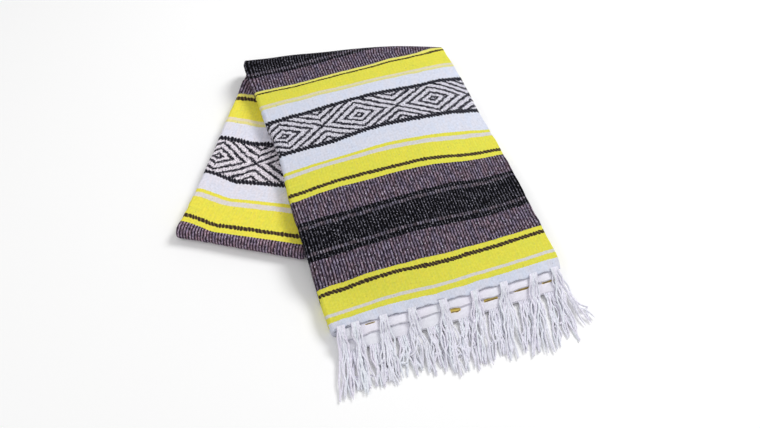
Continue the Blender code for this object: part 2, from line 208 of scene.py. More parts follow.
def past(spots, first, second, outward):
    line = np.array(second) - np.array(first)
    normal = np.array((line[1], -line[0])) / np.linalg.norm(line)
    if normal @ np.array(outward) < 0:
        normal = -normal
    return (spots - np.array(first)) @ normal


def liftedShare(spots, share):
    right = past(spots, rearRight[0][1:], rearRight[-1][1:], (1, 0))
    end = past(spots, rearLeft[-1][1:], rearRight[-1][1:], (0, -1))
    return ((1 - soften(right / cloth["dropRight"]))
            * (1 - upFrom(end - cloth["half"], cloth["dropEndFrom"], cloth["dropEnd"]))
            * soften(share / cloth["hemSettles"]))


def crownAt(across, share):
    grown = upFrom(share, *cloth["crownGrows"])
    return cloth["crown"] * 4 * across * (1 - across) * grown


def toFrame(spots, height):
    return np.column_stack((spots[:, 0] + planShift[0], spots[:, 1] + planShift[1], height))


def onFloor(points):
    points[:, 2] = np.maximum(points[:, 2], cloth["overFloor"])
    return points


def upperPlace(share, inward, depth):
    spots, across = onLeg(upperLeg, share, inward)
    top = cloth["foot"] + cloth["stack"] + (cloth["lift"] - cloth["foot"]) * liftedShare(spots, share)
    return toFrame(spots, top + crownAt(across, share) - depth)


def foldPlace(angle, inward, depth):
    # Round the top fold: 90 degrees is its crest, -90 lies on the floor
    spots, across = onLeg(upperLeg, 1.0, inward)
    _, _, side, back, _ = ruling(upperLeg, 1.0)
    turn = math.radians(angle)
    tuck, *span = cloth["cornerIn"]
    spots = spots - np.outer(tuck * upFrom(across, *span) * math.cos(turn), side)
    crest = cloth["lift"] + cloth["stack"] + crownAt(across, 1.0) - cloth["foldAxis"]
    reach = cloth["foldBack"] + cloth["foldPuff"] * 4 * across * (1 - across)
    right, *span = cloth["foldRight"]
    left, over = cloth["foldLeft"]
    reach = reach + right * upFrom(across, *span) + left * (1 - soften(across / over))
    height = crest if angle > 0 else cloth["foldAxis"]
    spots = spots + np.outer((reach - depth) * math.cos(turn), back)
    return onFloor(toFrame(spots, cloth["foldAxis"] + (height - depth) * math.sin(turn)))


def rearOut(share, inward):
    start = cloth["endOutFrom"]
    return cloth["endOut"] * soften((share - start) / (1 - start)) * soften(inward / cloth["endOutOver"])


def rearSpots(share, inward):
    spots, _ = onLeg(rearLeg, share, inward)
    return spots - np.outer(rearOut(share, inward), ruling(rearLeg, share)[3])


def rearPlace(share, inward, depth):
    return toFrame(rearSpots(share, inward), cloth["stack"] - depth)


def endPlace(angle, inward, depth):
    # Round the rear leg's end: 0 degrees is its top, 180 lies on the floor
    spots = rearSpots(1.0, inward)
    front = -ruling(rearLeg, 1.0)[3]
    turn = math.radians(angle)
    spots = spots + np.outer((cloth["half"] - depth) * math.sin(turn), front)
    return onFloor(toFrame(spots, cloth["half"] + (cloth["half"] - depth) * math.cos(turn)))


def coveredWidth(share):
    # How far in from its left edge the rear leg runs before the upper leg's side
    rows = np.array(upperLeft)
    inward = cloth["lobe"]
    for _ in range(12):
        spot = onLeg(rearLeg, share, np.array((inward,)))[0][0]
        inward += np.interp(spot[1], rows[:, 2], rows[:, 1]) + cloth["lobe"] - cloth["underEdge"] - spot[0]
    return inward


# The woven pattern. Columns: start along the cloth in millimetres, colour, rib, fleck
yarns = {
    "white": (0.660, 0.690, 0.790),
    "yellow": (0.730, 0.700, 0.075),
    "lightYellow": (0.760, 0.730, 0.170),
    "softYellow": (0.700, 0.670, 0.270),
    "pale": (0.640, 0.630, 0.600),
    "cream": (0.690, 0.650, 0.470),
    "marl": (0.081, 0.060, 0.082),
    "grey": (0.056, 0.048, 0.060),
    "black": (0.0025, 0.0025, 0.0045),
}
bands = (
    (-20.0, "white", 0.25, 0.0),
    (16.5, "yellow", 0.25, 0.0),
    (25.5, "pale", 0.25, 0.0),
    (31.5, "yellow", 0.3, 0.0),
    (70.0, "yellow", 0.3, 0.0),
    (75.0, "marl", 1.0, 1.0),
    (112.0, "black", 1.0, 0.6),
    (119.5, "grey", 1.0, 0.8),
    (124.0, "black", 1.0, 0.6),
    (158.5, "grey", 1.0, 0.8),
    (165.0, "black", 1.0, 0.6),
    (172.5, "marl", 1.0, 1.0),
    (208.5, "yellow", 0.3, 0.0),
    (251.0, "pale", 0.25, 0.0),
    (257.0, "yellow", 0.3, 0.0),
    (263.5, "white", 0.25, 0.0),
    (389.8, "softYellow", 0.25, 0.0),
    (393.6, "cream", 0.25, 0.0),
    (398.0, "yellow", 0.3, 0.0),
    (433.6, "lightYellow", 0.3, 0.0),
    (438.0, "marl", 1.0, 1.0),
    (468.0, "black", 1.0, 0.6),
    (474.0, "grey", 1.0, 0.8),
    (478.5, "black", 1.0, 0.55),
    (513.0, "grey", 1.0, 0.8),
    (518.0, "black", 1.0, 0.6),
    (525.0, "marl", 1.0, 1.0),
)
beadLines = {             # dark plied lines. Columns: middle in millimetres, thickness, colour
    "lowBead": (65.0, 7.6, "brown"),
    "middleBead": (221.0, 7.2, "brown"),
    "highBead": (431.5, 4.4, "brown"),
    "lowerChain": (299.8, 9.4, "ink"),
    "upperChain": (365.2, 8.2, "ink"),
}
# Colours of the plied lines, the share of the light one and how far a bead narrows
inks = {
    "brown": {"dark": (0.040, 0.026, 0.020), "light": (0.30, 0.25, 0.07), "share": 0.42, "waist": 0.72},
    "ink": {"dark": (0.010, 0.010, 0.016), "light": (0.10, 0.10, 0.12), "share": 0.5, "waist": 0.60},
}
beads = {
    "pitch": 0.0052,                     # across the cloth
    "slant": 0.0110,
    "drift": (85.0, 9.0, 1.0),
    "uneven": 130.0,
    "unevenTo": (0.3, 0.7, 0.80, 1.08),
    "blur": 0.0003,
}
diamonds = {
    "from": 303.0, "to": 362.5,         # millimetres along the cloth
    "firstMiddle": 18.0, "pitch": 118.5,   # across it
    "climb": 0.60,                        # slope of the rings
    "firstRing": 0.39, "ringPitch": 0.31,   # as shares of the way from a middle to the crossing
    "ringsFrom": 0.12,
    "eye": ((0.045, 0.015), (0.180, 0.020)),   # the small ring round a middle: its edges and their blur
    "step": 2.6,                          # the rings climb in steps of this size
    "stepShare": 0.6,
    "waver": (190.0, 0.20),
    "dark": 0.44,                         # share of the ring pitch
    "blur": 0.05,
    "picks": (420.0, 900.0),              # to a metre, across and along
    "lightPicks": (0.40, 0.54, 0.12, 1.0),
    "lightYarn": ((0.26, 0.24, 0.30), (0.77, 0.76, 0.84)),
    "darkPicks": (0.57, 0.68),
    "darkYarn": (0.32, 0.31, 0.38),
}
# Where the stripes lie on the upper leg, in millimetres along it. Columns: place in the pattern, then
# its place at the left edge, a quarter, the middle, three quarters and the right edge
stripeLines = (
    (0, 0, 0, 0, 0, 0),
    (16.5, 18.5, 21.5, 18, 18.5, 20),
    (65, 61.5, 62, 59, 62.5, 65),
    (75, 69, 69, 68, 72, 74),
    (115.7, 107.5, 109.5, 112, 115, 119),
    (124, 117.5, 119, 120.5, 124.5, 128.5),
    (158.5, 153, 154.5, 157, 162, 168.5),
    (172.5, 166, 167.5, 169, 173.5, 178),
    (208.5, 204, 210, 209, 207, 210.5),
    (221, 215.5, 221.5, 220.5, 218, 220.5),
    (251, 246.5, 251.5, 253, 246, 249),
    (263.5, 259.5, 262.5, 266.5, 260.5, 261),
    (300.5, 295.5, 296, 302, 299, 300.5),
    (365, 361, 361.5, 364.5, 362, 363.5),
    (398, 398.5, 395.5, 394, 394.5, 399.5),
    (438, 429.5, 422, 423, 429, 436),
    (560, 556, 550, 552, 556, 560),
)


def patternPlace(along, across):
    # The stripes waver and bow a little, each in its own way
    rows = np.array(stripeLines, float) / 1000
    quarters = across * 4
    spot = np.clip(quarters, 0, 3.9999).astype(int)
    part = soften(quarters - spot)
    lines = [row[1 + spot] * (1 - part) + row[2 + spot] * part for row in rows]
    pattern = rows[0, 0] + np.minimum(along - lines[0], 0)
    for number in range(len(rows) - 1):
        share = np.clip((along - lines[number]) / (lines[number + 1] - lines[number]), 0, 1)
        pattern = pattern + share * (rows[number + 1, 0] - rows[number, 0])
    return pattern + np.maximum(along - lines[-1], 0)


def ribAt(pattern):
    starts = np.array([band[0] for band in bands])
    ribs = np.array([band[2] for band in bands])
    spot = np.clip(np.searchsorted(starts, pattern * 1000, side="right") - 1, 0, len(bands) - 1)
    return ribs[spot]


# A shader node's output, so that sums of outputs can be written plainly
class Shade:
    def __init__(self, tree, socket):
        self.tree = tree
        self.socket = socket

    def __add__(self, other):
        return reckon("ADD", self, other)

    def __sub__(self, other):
        return reckon("SUBTRACT", self, other)

    def __rsub__(self, other):
        return reckon("SUBTRACT", other, self)

    def __mul__(self, other):
        return reckon("MULTIPLY", self, other)

    def __truediv__(self, other):
        return reckon("DIVIDE", self, other)

    def __gt__(self, other):
        return reckon("GREATER_THAN", self, other)

    def __lt__(self, other):
        return reckon("LESS_THAN", self, other)

    def __abs__(self):
        return reckon("ABSOLUTE", self)


def plug(socket, value):
    if isinstance(value, Shade):
        value.tree.links.new(value.socket, socket)
    elif isinstance(value, tuple) and socket.type == "RGBA":
        socket.default_value = (*value, 1.0)
    else:
        socket.default_value = value


def addNode(kind, inputs, output=0, **settings):
    # Each input is a number, a colour or another node's output
    tree = next(value.tree for value in inputs.values() if isinstance(value, Shade))
    node = tree.nodes.new("ShaderNode" + kind)
    for name, setting in settings.items():
        setattr(node, name, setting)
    for key, value in inputs.items():
        plug(node.inputs[key], value)
    return Shade(tree, node.outputs[output])


def reckon(operation, *values):
    return addNode("Math", dict(enumerate(values)), operation=operation)


def fromTo(value, low, high, newLow=0.0, newHigh=1.0, smooth=True):
    inputs = dict(enumerate((value, low, high, newLow, newHigh)))
    return addNode("MapRange", inputs, interpolation_type="SMOOTHSTEP" if smooth else "LINEAR")


def blend(share, first, second, kind="MIX"):
    return addNode("Mix", {0: share, 6: first, 7: second}, 2, data_type="RGBA", blend_type=kind)


def tinted(first, second):
    return blend(1.0, first, second, "MULTIPLY")


def join3(*parts):
    return addNode("CombineXYZ", dict(enumerate(parts)))


def speckle(place, scale, detail=2.0, rough=0.5):
    place = join3(*place) if isinstance(place, tuple) else place
    inputs = {"Vector": place, "Scale": scale, "Detail": detail, "Roughness": rough}
    return addNode("TexNoise", inputs, "Fac", noise_dimensions="3D")


def waver(place, scale, reach, detail=2.0):
    return (speckle(place, scale, detail) - 0.5) * reach


# One stepped ramp holds at most 32 stops, so two cover the cloth's length
rampSpans = ((-0.020, 0.250), (0.250, 0.600))


def bandRamps(pattern, pick):
    found, before = [], None
    for low, high in rampSpans:
        rows = [band for band in bands if low <= band[0] / 1000 < high]
        node = pattern.tree.nodes.new("ShaderNodeValToRGB")
        plug(node.inputs[0], fromTo(pattern, low, high, smooth=False))
        ramp = node.color_ramp
        ramp.interpolation = "CONSTANT"
        stops = [(max((row[0] / 1000 - low) / (high - low), 0.0), pick(row)) for row in rows]
        if stops[0][0] > 0:
            stops.insert(0, (0.0, pick(before)))
        for number, (place, colour) in enumerate(stops):
            stop = ramp.elements.new(place) if number else ramp.elements[0]
            stop.position = place
            stop.color = (*colour, 1.0)
        ramp.elements.remove(ramp.elements[-1])
        found.append(Shade(pattern.tree, node.outputs[0]))
        before = rows[-1]
    return blend(pattern > rampSpans[0][1], *found)


def clothMaterial(name, surface):
    # A material with its shader and the place on the cloth that its pattern reads
    material = bpy.data.materials.new(name)
    material.use_nodes = True
    tree = material.node_tree
    shader = tree.nodes["Principled BSDF"]
    for socket, value in surface.items():
        shader.inputs[socket].default_value = value
    given = tree.nodes.new("ShaderNodeAttribute")
    given.attribute_name = "clothPlace"
    place = Shade(tree, given.outputs["Vector"])
    return material, shader, place, [addNode("SeparateXYZ", {0: place}, number) for number in range(3)]


def addRelief(shader, relief, strength, distance):
    inputs = {"Strength": strength, "Distance": distance, "Height": relief}
    plug(shader.inputs["Normal"], addNode("Bump", inputs))


# The striped weave. A tone has four numbers: what it reads, from and to, and the tone, from and to
weave = {
    "surface": {"Roughness": 0.92, "Specular IOR Level": 0.04, "Sheen Weight": 0.01, "Sheen Roughness": 0.6},
    "ribTop": 0.6,                     # a lower power makes a rib's top broader
    "edgeWander": (38.0, 0.0026, 1.0),   # of a stripe's edge: scale, reach and detail
    "edgeStep": (1.7, 0.0010, 0.0),      # and from rib to rib
    "scallop": 0.0006,
    "dashes": (520.0, 210.0),          # to a metre, across and along
    "dashTone": (0.34, 0.67, 0.40, 1.82),
    # Painted shade in the grooves between the marl's ribs, painted light on their tops
    "grooveShade": (0.25, 0.90, 0.10, 1.75),
    "coarse": 150.0,
    "coarseTone": (0.75, 1.25),
    # Painted shade in the grooves of the plain bands
    "plainToneWithGrooveShade": (0.1, 0.7, 0.93, 1.0),
    "mottle": (260.0, 3.0, 0.6),
    "mottleTone": (0.3, 0.7, 0.93, 1.05),
    "marlFrom": (0.4, 0.9),            # how ribbed a band is where it turns from plain to marl
    "drift": (46.0, 2.0, 0.6),         # the marl's slow change of hue
    "driftStretch": 2.2,
    "driftFrom": (0.36, 0.64),
    "driftColours": ((0.90, 0.97, 1.10), (1.12, 1.00, 0.96)),
    "driftShare": 0.9,
    "flecks": (620.0, 420.0),
    "fleckFrom": (0.665, 0.715),
    "fleckOnRib": (0.35, 0.75),
    "fleckShare": 0.95,
    "fleckColour": (0.62, 0.60, 0.70),
    # Grey dashes kept to the rib tops: partly grey yarn, partly painted highlight
    "ribDash": (0.45, 0.61, 0.10, 1.0),
    "ribDashLitTops": (0.84, 0.99),
    "ribDashShare": 0.44,
    "ribDashColour": (0.30, 0.29, 0.35),
    "specks": 300.0,
    "speckFrom": (0.79, 0.82),
    "speckShare": 0.5,
    "speckColour": (0.16, 0.15, 0.20),
    "weftPitch": 0.0016,
    "weftRelief": 0.10,
    "fuzz": (900.0, 3.0, 0.7),
    "fuzzRelief": 0.9,
    "plainRelief": (0.2, 1.0, 0.35, 1.0),
    "relief": (0.85, 0.0006),          # strength and depth
}


def addMarl(base, across, along, ribWave, ribTop, ribby, flecky, marl):
    # Ribs of short light and dark dashes with white flecks, and a soft mottle on the plain bands. The grooves
    # between the ribs get painted shade, and the grey dashes only on the rib tops are partly grey yarn,
    # partly painted highlight
    dashes = speckle((across * weave["dashes"][0], along * weave["dashes"][1], 0.0), 1.0, 1.5, 0.6)
    coarse = speckle((across, along, 3.0), weave["coarse"])
    darkest, lightest = weave["coarseTone"]
    # Painted shade: the marl's tone drops in the grooves and rises on the rib tops
    marlTone = (fromTo(dashes, *weave["dashTone"]) * fromTo(ribWave, *weave["grooveShade"])
                * fromTo(coarse, 0.3, 0.7, darkest * marl, lightest * marl))
    mottle = speckle((across, along, 7.0), *weave["mottle"])
    # Painted shade in the plain bands' grooves, times a random mottle
    plainToneWithGrooveShade = fromTo(ribTop, *weave["plainToneWithGrooveShade"]) * fromTo(mottle, *weave["mottleTone"])
    tone = fromTo(ribby, *weave["marlFrom"], plainToneWithGrooveShade, marlTone)
    tone = join3(tone, tone, tone)
    drifting = speckle((across * weave["driftStretch"], along, 33.0), *weave["drift"])
    drift = blend(fromTo(drifting, *weave["driftFrom"]), *weave["driftColours"])
    base = tinted(base, blend(ribby * weave["driftShare"], tone, tinted(tone, drift)))
    flecks = speckle((across * weave["flecks"][0], along * weave["flecks"][1], 5.0), 1.0, 0.5)
    onRib = flecky * fromTo(ribWave, *weave["fleckOnRib"]) * weave["fleckShare"]
    base = blend(fromTo(flecks, *weave["fleckFrom"]) * onRib, base, weave["fleckColour"])
    # Grey dashes only on the lit rib tops: partly grey yarn, partly painted highlight
    ribDash = fromTo(dashes, *weave["ribDash"]) * fromTo(ribWave, *weave["ribDashLitTops"])
    base = blend(ribDash * ribby * weave["ribDashShare"], base, weave["ribDashColour"])
    specks = fromTo(speckle((across, along, 11.0), weave["specks"], 0.0), *weave["speckFrom"])
    return blend(specks * ((1.0 - ribby) * weave["speckShare"]), base, weave["speckColour"])


def addDiamonds(base, across, along, pattern):
    # Nested diamonds between the two chain lines
    look = diamonds
    low, high, step = look["from"] / 1000, look["to"] / 1000, look["step"] / 1000
    halfPitch = look["pitch"] / 2000
    snapped = reckon("SNAP", across + step / 2, step) * look["stepShare"] + across * (1 - look["stepShare"])
    sideways = reckon("PINGPONG", snapped - look["firstMiddle"] / 1000, halfPitch) / halfPitch
    upwards = abs(pattern - (low + high) / 2) / (halfPitch * look["climb"])
    rings = sideways + upwards + waver((across, along, 2.0), *look["waver"])
    fromRing = abs(reckon("FRACT", (rings - look["firstRing"]) / look["ringPitch"] + 0.5) - 0.5)
    half, blur = look["dark"] / 2, look["blur"]
    dark = fromTo(fromRing, half - blur, half + blur, 1.0, 0.0)
    dark = dark * (rings > look["firstRing"] - look["ringsFrom"])
    (eyeIn, blurIn), (eyeOut, blurOut) = look["eye"]
    eye = fromTo(rings, eyeIn - blurIn, eyeIn + blurIn)
    eye = eye * fromTo(rings, eyeOut - blurOut, eyeOut + blurOut, 1.0, 0.0)
    picks = speckle((across * look["picks"][0], along * look["picks"][1], 9.0), 1.0, 1.0)
    lightYarn = blend(fromTo(picks, *look["lightPicks"]), *look["lightYarn"])
    darkYarn = blend(fromTo(picks, *look["darkPicks"]), inks["ink"]["dark"], look["darkYarn"])
    rows = blend(reckon("MAXIMUM", dark, eye), lightYarn, darkYarn)
    return blend((pattern > low) * (pattern < high), base, rows)


def addBeadLines(base, across, along, pattern, highBead):
    # Plied dark lines: slanted beads along a band of uneven thickness
    look = beads
    drift = waver((across, along, 21.0), *look["drift"])
    for number, (line, (centre, thick, ink)) in enumerate(beadLines.items()):
        thick = thick * highBead if line == "highBead" else thick
        ink = inks[ink]
        offset = pattern - centre / 1000
        slant = across * (2 * math.pi / look["pitch"]) + offset * (2 * math.pi / look["slant"])
        bead = reckon("MULTIPLY_ADD", reckon("SINE", slant + drift), 0.5, 0.5)
        uneven = speckle((across, float(number), 0.0), look["uneven"], 1.0)
        edge = fromTo(uneven, *look["unevenTo"]) * (thick / 2000) * fromTo(bead, 0.0, 0.6, ink["waist"], 1.0)
        mask = fromTo(abs(offset) - edge, -look["blur"], look["blur"], 1.0, 0.0)
        plied = blend(fromTo(bead, 0.45, 0.0) * ink["share"], ink["dark"], ink["light"])
        base = blend(mask, base, plied)
    return base


def weaveMaterial(name, look):
    material, shader, _, (across, along, _) = clothMaterial(name, weave["surface"])
    # Ribs: 1 on a rib's top, 0 in the groove. Stripe edges step a little from rib to rib
    ribWave = abs(reckon("SINE", across * (math.pi / cloth["rib"])))
    ribTop = reckon("POWER", ribWave, weave["ribTop"])
    ribNumber = reckon("FLOOR", across / cloth["rib"])
    shift = waver((across, along, 0.0), *weave["edgeWander"])
    shift = shift + waver((ribNumber, 0.0, 0.0), *weave["edgeStep"])
    pattern = along + (shift + ribWave * weave["scallop"])
    kinds = bandRamps(pattern, lambda band: (band[2], band[3], 0.0))
    ribby, flecky = (addNode("SeparateColor", {0: kinds}, number) for number in range(2))
    base = bandRamps(pattern, lambda band: yarns[band[1]])
    # The look's marl factor paints the rear leg's marl lighter, painted light
    base = addMarl(base, across, along, ribWave, ribTop, ribby, flecky, look["marl"])
    base = addDiamonds(base, across, along, pattern)
    base = addBeadLines(base, across, along, pattern, look["highBead"])
    # The look's tint paints the rear leg's copy lighter and the hidden layers' copy darker: painted light and
    # painted shade
    plug(shader.inputs["Base Color"], tinted(base, look["tint"]))
    weft = reckon("SINE", along * (2 * math.pi / weave["weftPitch"]))
    fuzz = speckle((across, along, 15.0), *weave["fuzz"])
    relief = ribTop * fromTo(ribby, *weave["plainRelief"], smooth=False) + weft * weave["weftRelief"]
    addRelief(shader, relief + fuzz * weave["fuzzRelief"], *weave["relief"])
    return material


# Plain white weave of the hems and yarn of the fringe
whiteCloth = {
    "surface": {
        "Roughness": 0.95,
        "Specular IOR Level": 0.2,
        "Sheen Weight": 0.15,
        "Subsurface Weight": 0.12,
        "Subsurface Radius": (0.004, 0.004, 0.004),
    },
    # Where a mark passes these numbers, another colour shows in the white
    "markColours": ((1.2, 1.6, (0.66, 0.50, 0.12)), (2.3, 2.7, (0.13, 0.085, 0.06))),
    "lightest": 1.04,
    "relief": (0.8, 0.0004),
}


def hemMaterial(name, look):
    material, shader, place, (_, _, mark) = clothMaterial(name, whiteCloth["surface"])
    tint = blend(mark, look["cool"], look["lavender"])
    for low, high, colour in whiteCloth["markColours"]:
        tint = blend(fromTo(mark, low, high), tint, colour)
    mottle = speckle(place, look["mottle"], 3.0, 0.6)
    tone = fromTo(mottle, 0.25, 0.75, look["darkest"], whiteCloth["lightest"])
    plug(shader.inputs["Base Color"], tinted(tint, join3(tone, tone, tone)))
    addRelief(shader, speckle(place, look["fuzz"], 3.0, 0.7), *whiteCloth["relief"])
    return material


upperLook = {"tint": (1.0, 1.0, 1.0), "highBead": 1.0, "marl": 1.0}
# The rear leg's copy of the weave: its tint and marl factor paint it lighter, painted light
rearLitLook = {"tint": (1.20, 1.14, 1.11), "highBead": 1.6, "marl": 1.38}
# The hidden layers' copy of the weave: its tint paints them darker, painted shade
hiddenShadedLook = {"tint": (0.92, 0.90, 0.90), "highBead": 1.0, "marl": 1.0}
hemLook = {
    "cool": (0.845, 0.850, 0.920),
    "lavender": (0.855, 0.820, 0.920),
    "mottle": 220.0,
    "darkest": 0.93,
    "fuzz": 900.0,
}
yarnLook = {
    "cool": (0.87, 0.90, 0.97),
    "lavender": (0.89, 0.85, 0.97),
    "mottle": 300.0,
    "darkest": 0.80,
    "fuzz": 1500.0,
}
upperWeave = weaveMaterial("stripedWeave", upperLook)
rearLitWeave = weaveMaterial("stripedWeaveRearLit", rearLitLook)
hiddenShadedWeave = weaveMaterial("stripedWeaveInnerShaded", hiddenShadedLook)
hemWeave = hemMaterial("whiteHemWeave", hemLook)
fringeYarn = hemMaterial("fringeYarn", yarnLook)
print("materials made")


# Meshes
def makePiece(name, points, faces, marks, material):
    data = bpy.data.meshes.new(name)
    data.from_pydata(points.tolist(), [], faces)
    mark = data.attributes.new("clothPlace", "FLOAT_VECTOR", "POINT")
    mark.data.foreach_set("vector", marks.astype(np.float32).ravel())
    data.materials.append(material)
    data.shade_smooth()
    thing = linked(name, data)
    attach(thing, "root")
    return thing


def tubeFaces(rows, count, before=0):
    # Four-sided faces between each ring and the next
    around = np.arange(count)
    following = (around + 1) % count
    faces = []
    for start in range(before, before + (rows - 1) * count, count):
        after = start + count
        faces.append(np.column_stack((start + around, start + following, after + following, after + around)))
    return np.concatenate(faces).tolist()


def shellPiece(name, rings, places, material, outerCount):
    # A thin shell: its outer run and inner run are joined at each end by a narrow strip
    rows, count = len(rings), len(rings[0])
    faces = tubeFaces(rows, count)
    for start, flip in ((0, True), ((rows - 1) * count, False)):
        outer = [start + spot for spot in range(outerCount)]
        inner = [start + count - 1 - spot for spot in range(count - outerCount)]
        faces += bridgeRuns(outer, inner, flip)
    return makePiece(name, np.concatenate(rings), faces, np.concatenate(places), material)


def bridgeRuns(outer, inner, flip):
    # Faces between a fine run and a coarse one
    faces, spot = [], 0
    for number in range(1, len(inner)):
        last = round(number * (len(outer) - 1) / (len(inner) - 1))
        face = outer[spot:last + 1] + [inner[number], inner[number - 1]]
        faces.append(face if flip else face[::-1])
        spot = last
    return faces


def joinedPiece(name, sweeps, material):
    # Sweeps in one mesh, each closed by fanning its ends to their middles
    points, faces, marks, before = [], [], [], 0
    for rings, places in sweeps:
        rows, count = len(rings), len(rings[0])
        faces += tubeFaces(rows, count, before)
        around = np.arange(count)
        following = (around + 1) % count
        last, hub = before + (rows - 1) * count, before + rows * count
        faces += np.column_stack((before + following, before + around, np.full(count, hub))).tolist()
        faces += np.column_stack((last + around, last + following, np.full(count, hub + 1))).tolist()
        points += [*rings, rings[0].mean(axis=0), rings[-1].mean(axis=0)]
        marks += [*places, places[0].mean(axis=0), places[-1].mean(axis=0)]
        before = hub + 2
    return makePiece(name, np.vstack(points), faces, np.vstack(marks), material)


def cutPlaces(across, pattern):
    # What the materials read: the place across the cloth and along its pattern
    return np.column_stack((across, pattern, np.zeros(len(across))))


# Soft troughs and ridges in the cloth, placed one by one.
# Columns: across, along, direction in degrees from the stripes, length, width, height
upperCreases = (
    (0.045, 0.085, 62, 0.075, 0.016, -0.0012),
    (0.120, 0.060, 20, 0.090, 0.018, 0.0009),
    (0.235, 0.100, 105, 0.085, 0.015, -0.0010),
    (0.085, 0.190, 35, 0.110, 0.020, -0.0011),
    (0.190, 0.215, 8, 0.120, 0.018, 0.0010),
    (0.270, 0.250, 80, 0.070, 0.014, -0.0011),
    (0.060, 0.300, 140, 0.080, 0.017, -0.0010),
    (0.170, 0.345, 15, 0.130, 0.022, -0.0012),
    (0.250, 0.395, 28, 0.090, 0.016, 0.0010),
    (0.100, 0.430, 172, 0.120, 0.014, 0.0011),
    (0.050, 0.470, 12, 0.070, 0.010, -0.0012),
    (0.210, 0.490, 165, 0.090, 0.012, -0.0010),
)
rearCreases = (
    (0.030, 0.250, 20, 0.060, 0.014, -0.0010),
    (0.090, 0.290, 160, 0.080, 0.014, 0.0009),
    (0.055, 0.350, 60, 0.060, 0.013, -0.0009),
    (0.130, 0.230, 8, 0.090, 0.015, -0.0010),
    (0.020, 0.400, 100, 0.050, 0.012, -0.0009),
)
swellWaves = ((47, 21, 1.0), (83, -39, 2.1), (18, 71, 0.7))   # turns along, across and by the seed
ribDrift = (0.0004, 61, 37)                                   # how the ribs sway: reach, along, across


def creaseHeight(table, across, along):
    height = np.zeros_like(across)
    for x, y, angle, length, width, rise in table:
        turn = math.radians(angle)
        run = (across - x) * math.cos(turn) + (along - y) * math.sin(turn)
        off = -(across - x) * math.sin(turn) + (along - y) * math.cos(turn)
        off = off + 0.25 * length * (run / length) ** 2
        height += rise * np.exp(-(run / length * 2) ** 2 - (off / width * 2) ** 2)
    return height


def slowSwell(across, along, seed, height):
    waves = [np.sin(along * first + across * second + seed * third) for first, second, third in swellWaves]
    return height * sum(waves) / len(waves)


def ribRise(across, along, pattern, height):
    # Warp ribs stand up where the weave is beaten open, and hardly in the plain bands
    reach, alongTurn, acrossTurn = ribDrift
    sway = across + reach * np.sin(along * alongTurn + across * acrossTurn)
    return height * ribAt(pattern) * np.sqrt(np.abs(np.sin(sway * math.pi / cloth["rib"])))


def edgeWander(look, along):
    (coarse, coarseSeed), (fine, fineSeed) = look["edgeWander"]
    return look["edgeRough"] * (wander(along, coarse, coarseSeed) + 0.6 * wander(along, fine, fineSeed))


# Roots of the top fringe's bundles, as shares of the hem's width
topRoots = (0.033, 0.093, 0.212, 0.333, 0.468, 0.608, 0.739, 0.875, 0.972)


def bundleSwing(across):
    # 1 at each bundle's root, 0 midway between two
    hemWidth = ruling(upperLeg, 0.0)[4]
    turns = np.interp(across, np.array(topRoots) * hemWidth, np.arange(len(topRoots)))
    return 0.5 + 0.5 * np.cos(turns * 2 * math.pi)


def hemTilt(across):
    # The top hem lies further back towards its left end
    return upperSheet["hemTilt"] * (1 - soften(across / upperSheet["hemTiltOver"]))


shell = {
    "rightRound": 0.0011,
    "rim": 0.0003,             # the right edge's two rims: how far in, and how deep
    "rimDrop": 0.0005,
    "backDrop": 0.0004,
    "foldFade": 0.6,           # the relief fades by this much round the nested fold
    "tail": 160,               # degrees that the edge wraps round its nested fold
    "lobeSteps": 11,
}
upperSheet = {
    "columns": 4,              # to a rib
    "hemStart": 0.0050,        # the top hem ends this far behind the fringe's line
    "hemSteps": (0.0, 0.0003, 0.0008, 0.0016),   # rows on the hem's rounded edge
    "firstRow": 0.0030,
    "rowPitch": 0.0025,
    "foldSteps": 22,
    "foldTurn": 175,
    "innerEvery": 8,
    "ribHeight": 0.0004,
    "swell": 0.0007,
    "hemRound": 0.0016,
    "hemThin": 0.92,
    "hemTilt": 0.0045,
    "hemTiltOver": 0.150,
    "rollAtHem": 0.12,         # share of the left roll's thickness at the hem
    "rollGrows": 0.045,
    "hemOver": 0.020,          # the hem's droop and waver fade over this length
    "hemDroop": 0.0032,
    "hemSlack": 0.35,          # share of the droop midway between two bundles
    "hemWaver": ((0.0013, 0.017, 8), (0.0006, 0.005, 9)),   # reach, pitch and seed
    "hemPull": 0.0010,         # the bundles draw the edge forward
    "edgeRough": 0.0007,
    "edgeOver": 0.010,
    "edgeWander": ((0.011, 5), (0.0037, 6)),   # pitch and seed
    "rightOver": 0.012,
    "rightWander": (0.014, 12),
}


def shellSection(width, flat, below, scale=1.0):
    # Across a sheet from its right edge, over the flat and round the nested fold.
    # Each row: inward, depth, place across the pattern, share of the relief it takes
    lobe, rim = cloth["lobe"], width - shell["rim"]
    core = lobe - cloth["wall"]
    outer = [(width, cloth["wall"] / 2, width * scale, 0.0), (rim, shell["rimDrop"], rim * scale, 0.2)]
    outer += [(spot, 0.0, spot * scale, 1.0) for spot in flat]
    turns = np.radians(np.linspace(0, shell["tail"], shell["lobeSteps"] + 1))[1:]
    for turn in turns:
        fade = 1.0 - shell["foldFade"] * turn / turns[-1]
        outer.append((lobe - lobe * math.sin(turn), lobe - lobe * math.cos(turn), lobe * (1 - turn), fade))
    inner = [(lobe - core * math.sin(turn), lobe - core * math.cos(turn), lobe * (1 - turn), 0.0)
             for turn in turns[::-3]]
    inner += [(spot, cloth["wall"], spot * scale, 0.0) for spot in below]
    inner.append((rim, cloth["wall"] - shell["backDrop"], width * scale, 0.0))
    return np.array(outer), np.array(inner)


